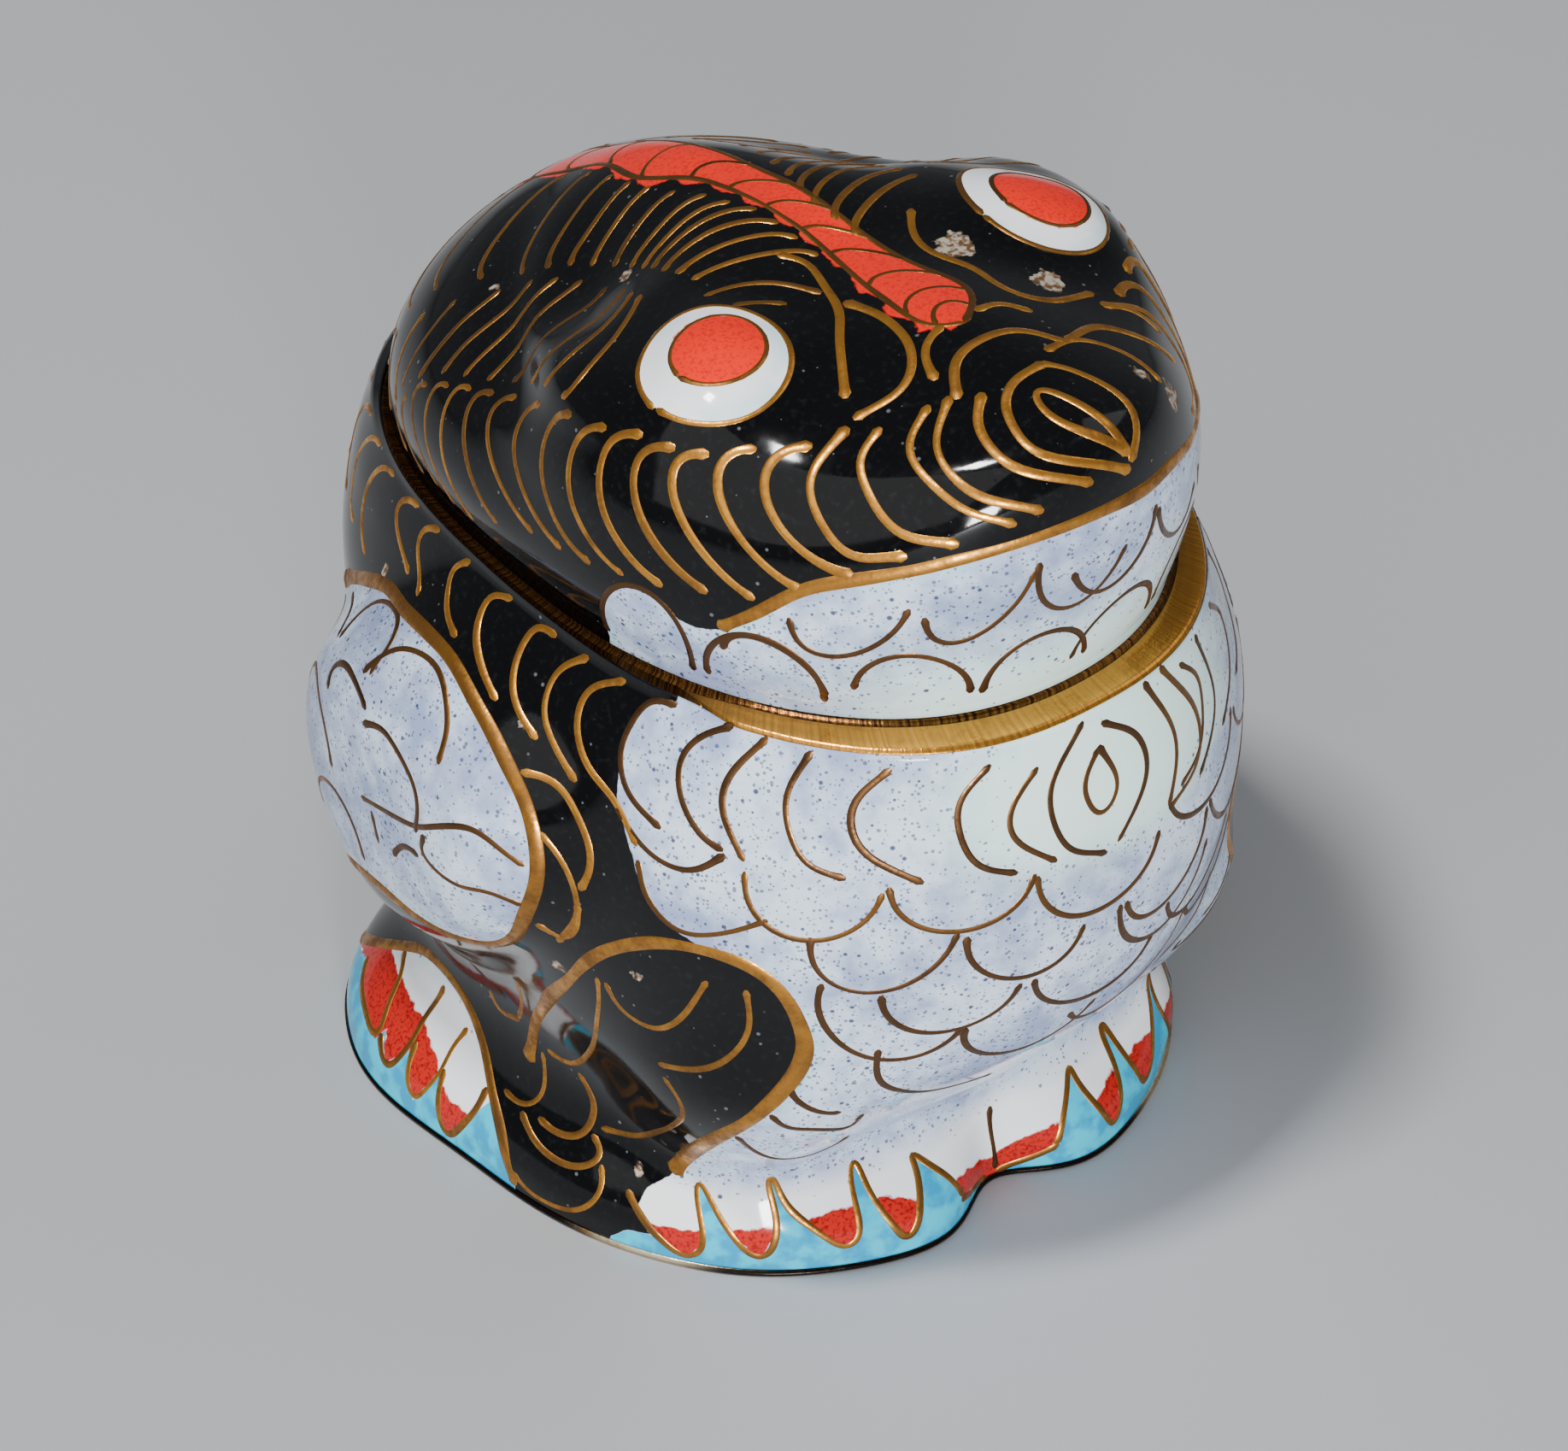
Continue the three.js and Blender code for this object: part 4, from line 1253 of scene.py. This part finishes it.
def linear(red: int, green: int, blue: int) -> tuple[float, float, float, float]:
    """Scene colour of a screen colour."""
    channels = [c / 255 for c in (red, green, blue)]
    return tuple(c / 12.92 if c <= 0.04045 else ((c + 0.055) / 1.055) ** 2.4 for c in channels) + (1.0,)


class Nodes:
    """Lays shader nodes into a tree and joins them."""

    def __init__(self, tree: bpy.types.NodeTree) -> None:
        """Keep the tree."""
        self.tree = tree

    def add(self, kind: str, inputs: dict, **settings) -> bpy.types.Node:
        """New node with its settings, and its inputs linked to sockets or set to values."""
        node = self.tree.nodes.new("ShaderNode" + kind)
        for name, value in settings.items():
            setattr(node, name, value)
        for key, value in inputs.items():
            if isinstance(value, bpy.types.NodeSocket):
                self.tree.links.new(value, node.inputs[key])
            else:
                node.inputs[key].default_value = value
        return node

    def maths(self, operation: str, *values) -> bpy.types.NodeSocket:
        """Result of a Math node."""
        return self.add("Math", dict(enumerate(values)), operation=operation).outputs[0]

    def step(
        self, value, low: float, high: float, start: float = 0.0, end: float = 1.0
    ) -> bpy.types.NodeSocket:
        """Smooth step of a value from one range to another."""
        given = {0: value, 1: low, 2: high, 3: start, 4: end}
        return self.add("MapRange", given, interpolation_type="SMOOTHSTEP").outputs[0]

    def mix(self, share, first, second) -> bpy.types.NodeSocket:
        """Mix of two colours."""
        return self.add("Mix", {0: share, 6: first, 7: second}, data_type="RGBA").outputs[2]

    def number(self, name: str) -> bpy.types.NodeSocket:
        """Number that the mesh carries."""
        return self.add("Attribute", {}, attribute_name=name).outputs["Fac"]

    def noise(self, vector, scale: float, detail: float = 2.0) -> bpy.types.NodeSocket:
        """Noise on Object coordinates."""
        return self.add("TexNoise", {"Vector": vector, "Scale": scale, "Detail": detail}).outputs["Fac"]


def shader_group(name: str, inputs: dict, outputs: dict) -> tuple[bpy.types.NodeTree, Nodes, dict, dict]:
    """New shader group with named sockets.

    Args:
        name: Name of the group.
        inputs: Socket kind and default for each input name.
        outputs: Socket kind for each output name.

    Returns:
        The tree, its node layer, its input sockets and its output sockets.
    """
    tree = bpy.data.node_groups.new(name, "ShaderNodeTree")
    for label, (kind, value) in inputs.items():
        socket = tree.interface.new_socket(label, in_out="INPUT", socket_type="NodeSocket" + kind)
        if value is not None:
            socket.default_value = value
    for label, kind in outputs.items():
        tree.interface.new_socket(label, in_out="OUTPUT", socket_type="NodeSocket" + kind)
    given, out = tree.nodes.new("NodeGroupInput"), tree.nodes.new("NodeGroupOutput")
    return tree, Nodes(tree), given.outputs, out.inputs


def speck_group() -> bpy.types.NodeTree:
    """Group: scattered specks of uneven size, as a mask."""
    tree, nodes, given, out = shader_group(
        "scattered_specks",
        {"Vector": ("Vector", None), "Scale": ("Float", 2000.0), "Size": ("Float", 0.3),
         "Share": ("Float", 0.5)},
        {"Mask": "Float"},
    )
    cells = nodes.add("TexVoronoi", {"Vector": given["Vector"], "Scale": given["Scale"]}, feature="F1")
    parts = nodes.add("SeparateColor", {"Color": cells.outputs["Color"]})
    kept = nodes.maths("LESS_THAN", parts.outputs[0], given["Share"])
    uneven = nodes.maths("ADD", nodes.maths("POWER", parts.outputs[1], 2.0), 0.35)
    radius = nodes.maths("MULTIPLY", given["Size"], uneven)
    near = nodes.maths("DIVIDE", cells.outputs["Distance"], radius)
    mask = nodes.maths("MULTIPLY", nodes.step(near, 1.0, 0.55), kept)
    tree.links.new(mask, out["Mask"])
    return tree


def edge_group() -> bpy.types.NodeTree:
    """Group: mask of a region from the distance inside its edge, with an uneven edge."""
    tree, nodes, given, out = shader_group(
        "uneven_edge",
        {"Vector": ("Vector", None), "Distance": ("Float", 0.0), "Uneven": ("Float", 0.1),
         "Soft": ("Float", 0.04)},
        {"Mask": "Float"},
    )
    wave = nodes.maths("SUBTRACT", nodes.noise(given["Vector"], 1400.0, 3.0), 0.5)
    moved = nodes.maths("MULTIPLY_ADD", wave, given["Uneven"], given["Distance"])
    low = nodes.maths("MULTIPLY", given["Soft"], -1.0)
    span = nodes.maths("MULTIPLY", given["Soft"], 2.0)
    ends = {0: nodes.maths("SUBTRACT", moved, low), 1: span}
    share = nodes.add("Math", ends, operation="DIVIDE", use_clamp=True)
    tree.links.new(share.outputs[0], out["Mask"])
    return tree


def tarnish_group() -> bpy.types.NodeTree:
    """Group: gilt that is bright where it is rubbed and brown where it isn't."""
    tree, nodes, given, out = shader_group(
        "tarnished_gilt",
        {"Vector": ("Vector", None), "Bright": ("Color", None), "Dull": ("Color", None),
         "Scale": ("Float", 700.0),
         "Amount": ("Float", 0.5)},
        {"Color": "Color", "Roughness": "Float", "Height": "Float"},
    )
    coarse = nodes.noise(given["Vector"], given["Scale"], 4.0)
    fine = nodes.noise(given["Vector"], nodes.maths("MULTIPLY", given["Scale"], 5.0), 2.0)
    worn = nodes.maths("ADD", nodes.maths("MULTIPLY", coarse, 0.7), nodes.maths("MULTIPLY", fine, 0.3))
    share = nodes.step(nodes.maths("ADD", worn, nodes.maths("SUBTRACT", given["Amount"], 0.5)), 0.32, 0.68)
    tree.links.new(nodes.mix(share, given["Bright"], given["Dull"]), out["Color"])
    tree.links.new(nodes.step(share, 0.0, 1.0, 0.24, 0.5), out["Roughness"])
    tree.links.new(fine, out["Height"])
    return tree


class Palette(Enum):
    """Colours of the enamels and metals, as screen colours."""

    BLACK = (5, 5, 6)
    SOOT = (24, 25, 28)
    CLEAR_GREY = (120, 124, 132)
    WHITE = (210, 226, 243)
    LAVENDER = (146, 161, 197)
    MINT = (222, 252, 244)
    PURE = (248, 250, 252)
    NAVY = (38, 46, 92)
    ORANGE_RED = (240, 36, 16)
    VERMILION = (212, 26, 14)
    RED = (190, 34, 26)
    BRICK = (138, 16, 16)
    TURQUOISE = (0, 154, 202)
    SKY = (0, 198, 230)
    PALE_SKY = (150, 218, 232)
    GOLD = (236, 164, 66)
    BRONZE = (150, 102, 42)
    BROWN = (98, 68, 42)
    OLD_COPPER = (34, 27, 22)
    # Copper brown of the mouth rim, which also serves as the rim's painted groove shade.
    COPPER_AND_SHADE = (52, 24, 10)
    WORN = (206, 190, 158)
    BARE = (176, 166, 148)
    LINING = (30, 120, 160)

    def paint(self) -> tuple[float, float, float, float]:
        """The colour as a scene colour."""
        return linear(*self.value)


@dataclass(frozen=True)
class Groups:
    """Shader groups that the finishes share."""

    specks: bpy.types.NodeTree
    edge: bpy.types.NodeTree
    tarnish: bpy.types.NodeTree


def new_material(name: str) -> tuple[bpy.types.Material, Nodes, bpy.types.Node, bpy.types.NodeSocket]:
    """Material with its node layer, its Principled shader and Object coordinates."""
    material = bpy.data.materials.new(name)
    material.use_nodes = True
    nodes = Nodes(material.node_tree)
    shader = material.node_tree.nodes["Principled BSDF"]
    vector = nodes.add("TexCoord", {}).outputs["Object"]
    return material, nodes, shader, vector


@dataclass(frozen=True)
class EnamelFinish:
    """Glossy enamels of one shell, parted by the distances that its mesh carries."""

    name: str
    groups: Groups
    red: Palette = Palette.RED
    red_dark: Palette = Palette.BRICK
    red_soft: float = 0.05
    roughness: float = 0.08
    specular: float = 0.32

    def specks(self, nodes: Nodes, vector, scale: float, size: float, share) -> bpy.types.NodeSocket:
        """Mask of scattered specks."""
        given = {"Vector": vector, "Scale": scale, "Size": size, "Share": share}
        return nodes.add("Group", given, node_tree=self.groups.specks).outputs["Mask"]

    def edge(self, nodes: Nodes, vector, name: str, uneven: float, soft: float) -> bpy.types.NodeSocket:
        """Mask of the enamel that lies inside a carried distance."""
        given = {"Vector": vector, "Distance": nodes.number(name), "Uneven": uneven, "Soft": soft}
        return nodes.add("Group", given, node_tree=self.groups.edge).outputs["Mask"]

    def build(self) -> bpy.types.Material:
        """The material."""
        material, nodes, shader, vector = new_material(self.name)
        broad, middle, fine = (nodes.noise(vector, s, 3.0) for s in (160.0, 700.0, 2600.0))
        mint, pure = nodes.number("mint"), nodes.number("pure")
        black = nodes.mix(nodes.step(fine, 0.5, 0.9), Palette.BLACK.paint(), Palette.SOOT.paint())
        dots = self.specks(nodes, vector, 1500.0, 0.16, 0.35)
        black = nodes.mix(nodes.maths("MULTIPLY", dots, 0.5), black, Palette.CLEAR_GREY.paint())
        clouds = nodes.maths("ADD", nodes.maths("MULTIPLY", broad, 0.6), nodes.maths("MULTIPLY", middle, 0.4))
        cloudy = nodes.step(clouds, 0.36, 0.64)
        white = nodes.mix(cloudy, Palette.LAVENDER.paint(), Palette.WHITE.paint())
        white = nodes.mix(mint, white, Palette.MINT.paint())
        white = nodes.mix(nodes.maths("MINIMUM", pure, 1.0), white, Palette.PURE.paint())
        plain = nodes.maths("SUBTRACT", 1.0, nodes.maths("MINIMUM", nodes.maths("ADD", mint, pure), 1.0))
        share = nodes.maths("MULTIPLY", plain, nodes.step(middle, 0.3, 0.65, 0.2, 0.85))
        near_edge = nodes.step(nodes.number("white"), 1.4, 0.0)
        near_edge = nodes.maths("MULTIPLY", near_edge, nodes.step(broad, 0.5, 0.6))
        white = nodes.mix(nodes.maths("MULTIPLY", near_edge, 0.5), white, Palette.PALE_SKY.paint())
        small = self.specks(nodes, vector, 4300.0, 0.5, share)
        large = self.specks(nodes, vector, 1900.0, 0.27, nodes.maths("MULTIPLY", plain, 0.5))
        small, large = nodes.maths("MULTIPLY", small, 0.72), nodes.maths("MULTIPLY", large, 0.9)
        marks = nodes.maths("MAXIMUM", small, large)
        white = nodes.mix(marks, white, Palette.NAVY.paint())
        grain = nodes.noise(vector, 4800.0, 2.0)
        red = nodes.mix(nodes.step(grain, 0.45, 0.7), self.red.paint(), self.red_dark.paint())
        blue = nodes.mix(nodes.step(middle, 0.4, 0.62), Palette.TURQUOISE.paint(), Palette.SKY.paint())
        colour = nodes.mix(self.edge(nodes, vector, "white", 0.25, 0.03), black, white)
        colour = nodes.mix(self.edge(nodes, vector, "turquoise", 0.2, 0.05), colour, blue)
        colour = nodes.mix(self.edge(nodes, vector, "red", 0.6, self.red_soft), colour, red)
        chip = self.edge(nodes, vector, "chip", 1.6, 0.08)
        bare = nodes.mix(nodes.step(fine, 0.4, 0.6), Palette.BARE.paint(), Palette.BROWN.paint())
        colour = nodes.mix(chip, colour, bare)
        colour = nodes.mix(nodes.number("lining"), colour, Palette.LINING.paint())
        nodes.tree.links.new(colour, shader.inputs["Base Color"])
        gloss = nodes.step(middle, 0.3, 0.7, self.roughness * 0.7, self.roughness * 1.5)
        nodes.tree.links.new(nodes.maths("MULTIPLY_ADD", chip, 0.4, gloss), shader.inputs["Roughness"])
        pits = self.specks(nodes, vector, 900.0, 0.09, 0.35)
        relief = nodes.maths("MULTIPLY_ADD", fine, 0.08, nodes.noise(vector, 300.0, 1.0))
        height = nodes.maths("SUBTRACT", relief, nodes.maths("ADD", pits, chip))
        bump = nodes.add("Bump", {"Strength": 0.25, "Distance": 0.00008, "Height": height})
        nodes.tree.links.new(bump.outputs[0], shader.inputs["Normal"])
        shader.inputs["Specular IOR Level"].default_value = self.specular
        return material


@dataclass(frozen=True)
class GiltFinish:
    """Gilt copper: how bright, how brown, and whether the mesh's tone says which; on the wires and the mouth
    rim that tone is partly painted shade and painted reflection.
    """

    name: str
    groups: Groups
    bright: Palette = Palette.GOLD
    dull: Palette = Palette.BRONZE
    dark: Palette = Palette.BROWN
    amount: float = 0.5
    toned: bool = False
    filed: float = 0.0
    metallic: float = 0.9

    def build(self) -> bpy.types.Material:
        """The material."""
        material, nodes, shader, vector = new_material(self.name)
        bright, dull = self.bright.paint(), self.dull.paint()
        if self.toned:
            tone = nodes.number("tone")
            bright, dull = (nodes.mix(tone, colour, self.dark.paint()) for colour in (bright, dull))
        given = {"Vector": vector, "Bright": bright, "Dull": dull, "Amount": self.amount}
        gilt = nodes.add("Group", given, node_tree=self.groups.tarnish).outputs
        colour, height = gilt["Color"], gilt["Height"]
        if self.filed:
            parts = nodes.add("SeparateXYZ", {"Vector": vector}).outputs
            round_axis = nodes.add("CombineXYZ", {"X": nodes.maths("ARCTAN2", parts[0], parts[1])}).outputs[0]
            marks = nodes.noise(round_axis, 110.0, 4.0)
            colour = nodes.mix(nodes.step(marks, 0.4, 0.62, 0.0, self.filed), colour, self.dull.paint())
            height = nodes.maths("MULTIPLY_ADD", marks, 1.5, height)
        nodes.tree.links.new(colour, shader.inputs["Base Color"])
        nodes.tree.links.new(gilt["Roughness"], shader.inputs["Roughness"])
        bump = nodes.add("Bump", {"Strength": 0.4, "Distance": 0.00004, "Height": height})
        nodes.tree.links.new(bump.outputs[0], shader.inputs["Normal"])
        shader.inputs["Metallic"].default_value = self.metallic
        return material


# Studio


@dataclass
class Studio:
    """Pale floor, soft lights and the camera at the photograph's viewing angle."""

    azimuth: float = 39.0
    elevation: float = 39.0
    distance: float = 0.42
    pixels_per_metre: float = 20500.0
    picture_width: int = 1835
    aim: tuple[float, float, float] = (0.007404, 0.008871, 0.011388)
    floor_half: float = 1.6
    sky: float = 0.2
    lamps: tuple = (  # name, azimuth, elevation, distance and size in metres, watts
        ("key", 86, 71, 0.6, 0.08, 3.2),
        ("front", 33, 5, 0.6, 0.1, 4.2),
        ("fill", 72, 36, 1.0, 1.0, 3.0),
        ("far_side", -70, 45, 1.0, 0.6, 1.1),
    )

    def towards(self, azimuth: float, elevation: float) -> Vector:
        """Unit vector from the object at an azimuth to its right and an elevation."""
        a, e = math.radians(azimuth), math.radians(elevation)
        return Vector((-math.sin(a) * math.cos(e), -math.cos(a) * math.cos(e), math.sin(e)))

    def camera(self) -> None:
        """Create the camera and make it the scene's."""
        data = bpy.data.cameras.new("camera")
        data.sensor_width = 36.0
        data.lens = self.pixels_per_metre * self.distance / self.picture_width * data.sensor_width
        data.clip_start, data.clip_end = 0.01, 20.0
        camera = bpy.data.objects.new("camera", data)
        back = self.towards(self.azimuth, self.elevation)
        camera.rotation_euler = back.to_track_quat("Z", "Y").to_euler()
        camera.location = Vector(self.aim) + back * self.distance
        bpy.context.scene.collection.objects.link(camera)
        bpy.context.scene.camera = camera

    def softbox(
        self, name: str, azimuth: float, elevation: float, far: float, size: float, watts: float
    ) -> None:
        """Square area light aimed at the object's middle."""
        data = bpy.data.lights.new(name, "AREA")
        data.shape, data.size, data.energy = "SQUARE", size, watts
        lamp = bpy.data.objects.new(name, data)
        way = self.towards(azimuth, elevation)
        lamp.location = Vector((0, 0, 0.025)) + way * far
        lamp.rotation_euler = way.to_track_quat("Z", "Y").to_euler()
        bpy.context.scene.collection.objects.link(lamp)

    def floor(self) -> None:
        """Plain pale floor."""
        mesh = bpy.data.meshes.new("floor")
        s = self.floor_half
        mesh.from_pydata([(-s, -s, 0), (s, -s, 0), (s, s, 0), (-s, s, 0)], [], [(0, 1, 2, 3)])
        floor = bpy.data.objects.new("floor", mesh)
        bpy.context.scene.collection.objects.link(floor)
        material = bpy.data.materials.new("pale_floor")
        material.use_nodes = True
        shader = material.node_tree.nodes["Principled BSDF"]
        shader.inputs["Base Color"].default_value = linear(176, 178, 180)
        shader.inputs["Roughness"].default_value = 0.8
        mesh.materials.append(material)

    def build(self) -> None:
        """Build the whole studio."""
        self.camera()
        self.floor()
        world = bpy.data.worlds.new("studio")
        world.use_nodes = True
        background = world.node_tree.nodes["Background"]
        background.inputs["Color"].default_value = (0.9, 0.94, 1.0, 1.0)
        background.inputs["Strength"].default_value = self.sky
        bpy.context.scene.world = world
        for lamp in self.lamps:
            self.softbox(*lamp)


# The box


def install(thing: bpy.types.Object, node: str) -> None:
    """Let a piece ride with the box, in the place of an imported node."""
    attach(thing, "root")
    if node:
        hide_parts(node)
    LOG.info("%s: %d vertices", thing.name, len(thing.data.vertices))


def main() -> None:
    """Build the box and the studio."""
    logging.basicConfig(level=logging.INFO, format="%(name)s %(message)s")
    Studio().build()
    groups = Groups(speck_group(), edge_group(), tarnish_group())
    body, lid = BodyShell().build(), LidShell().build()
    colour_body(body)
    colour_lid(lid)
    body.data.materials.append(EnamelFinish("body_enamel", groups).build())
    lid_finish = EnamelFinish("lid_enamel", groups, Palette.ORANGE_RED, Palette.VERMILION)
    lid.data.materials.append(lid_finish.build())
    install(body, "body")
    install(lid, "lid")
    old = Palette.OLD_COPPER
    filed = GiltFinish("filed_gilt", groups, dark=Palette.COPPER_AND_SHADE, amount=0.35, toned=True, filed=0.6)
    edge = GiltFinish("gilt_edge", groups, amount=0.4)
    sheet = GiltFinish("rubbed_gilt", groups, Palette.WORN, dark=old, amount=0.4, toned=True)
    for part, finish, node, slot in (
        (MouthRim(), filed, "mouth_rim", "gilt_rim"),
        (LidRim(), edge, "lid_rim", "gilt_edge"),
        (BottomSheet(), sheet, "bottom_plate", "gilt_sheet"),
    ):
        thing = part.build()
        thing.data.materials.append(finish.build())
        install(thing, node)
    wire_finish = GiltFinish("gilt_wire", groups, amount=0.5, toned=True).build()
    tree = WireWork.tree()
    install(draw_body().build(tree, wire_finish), "")
    install(draw_lid().build(tree, wire_finish), "")


if __name__ == "__main__":
    main()
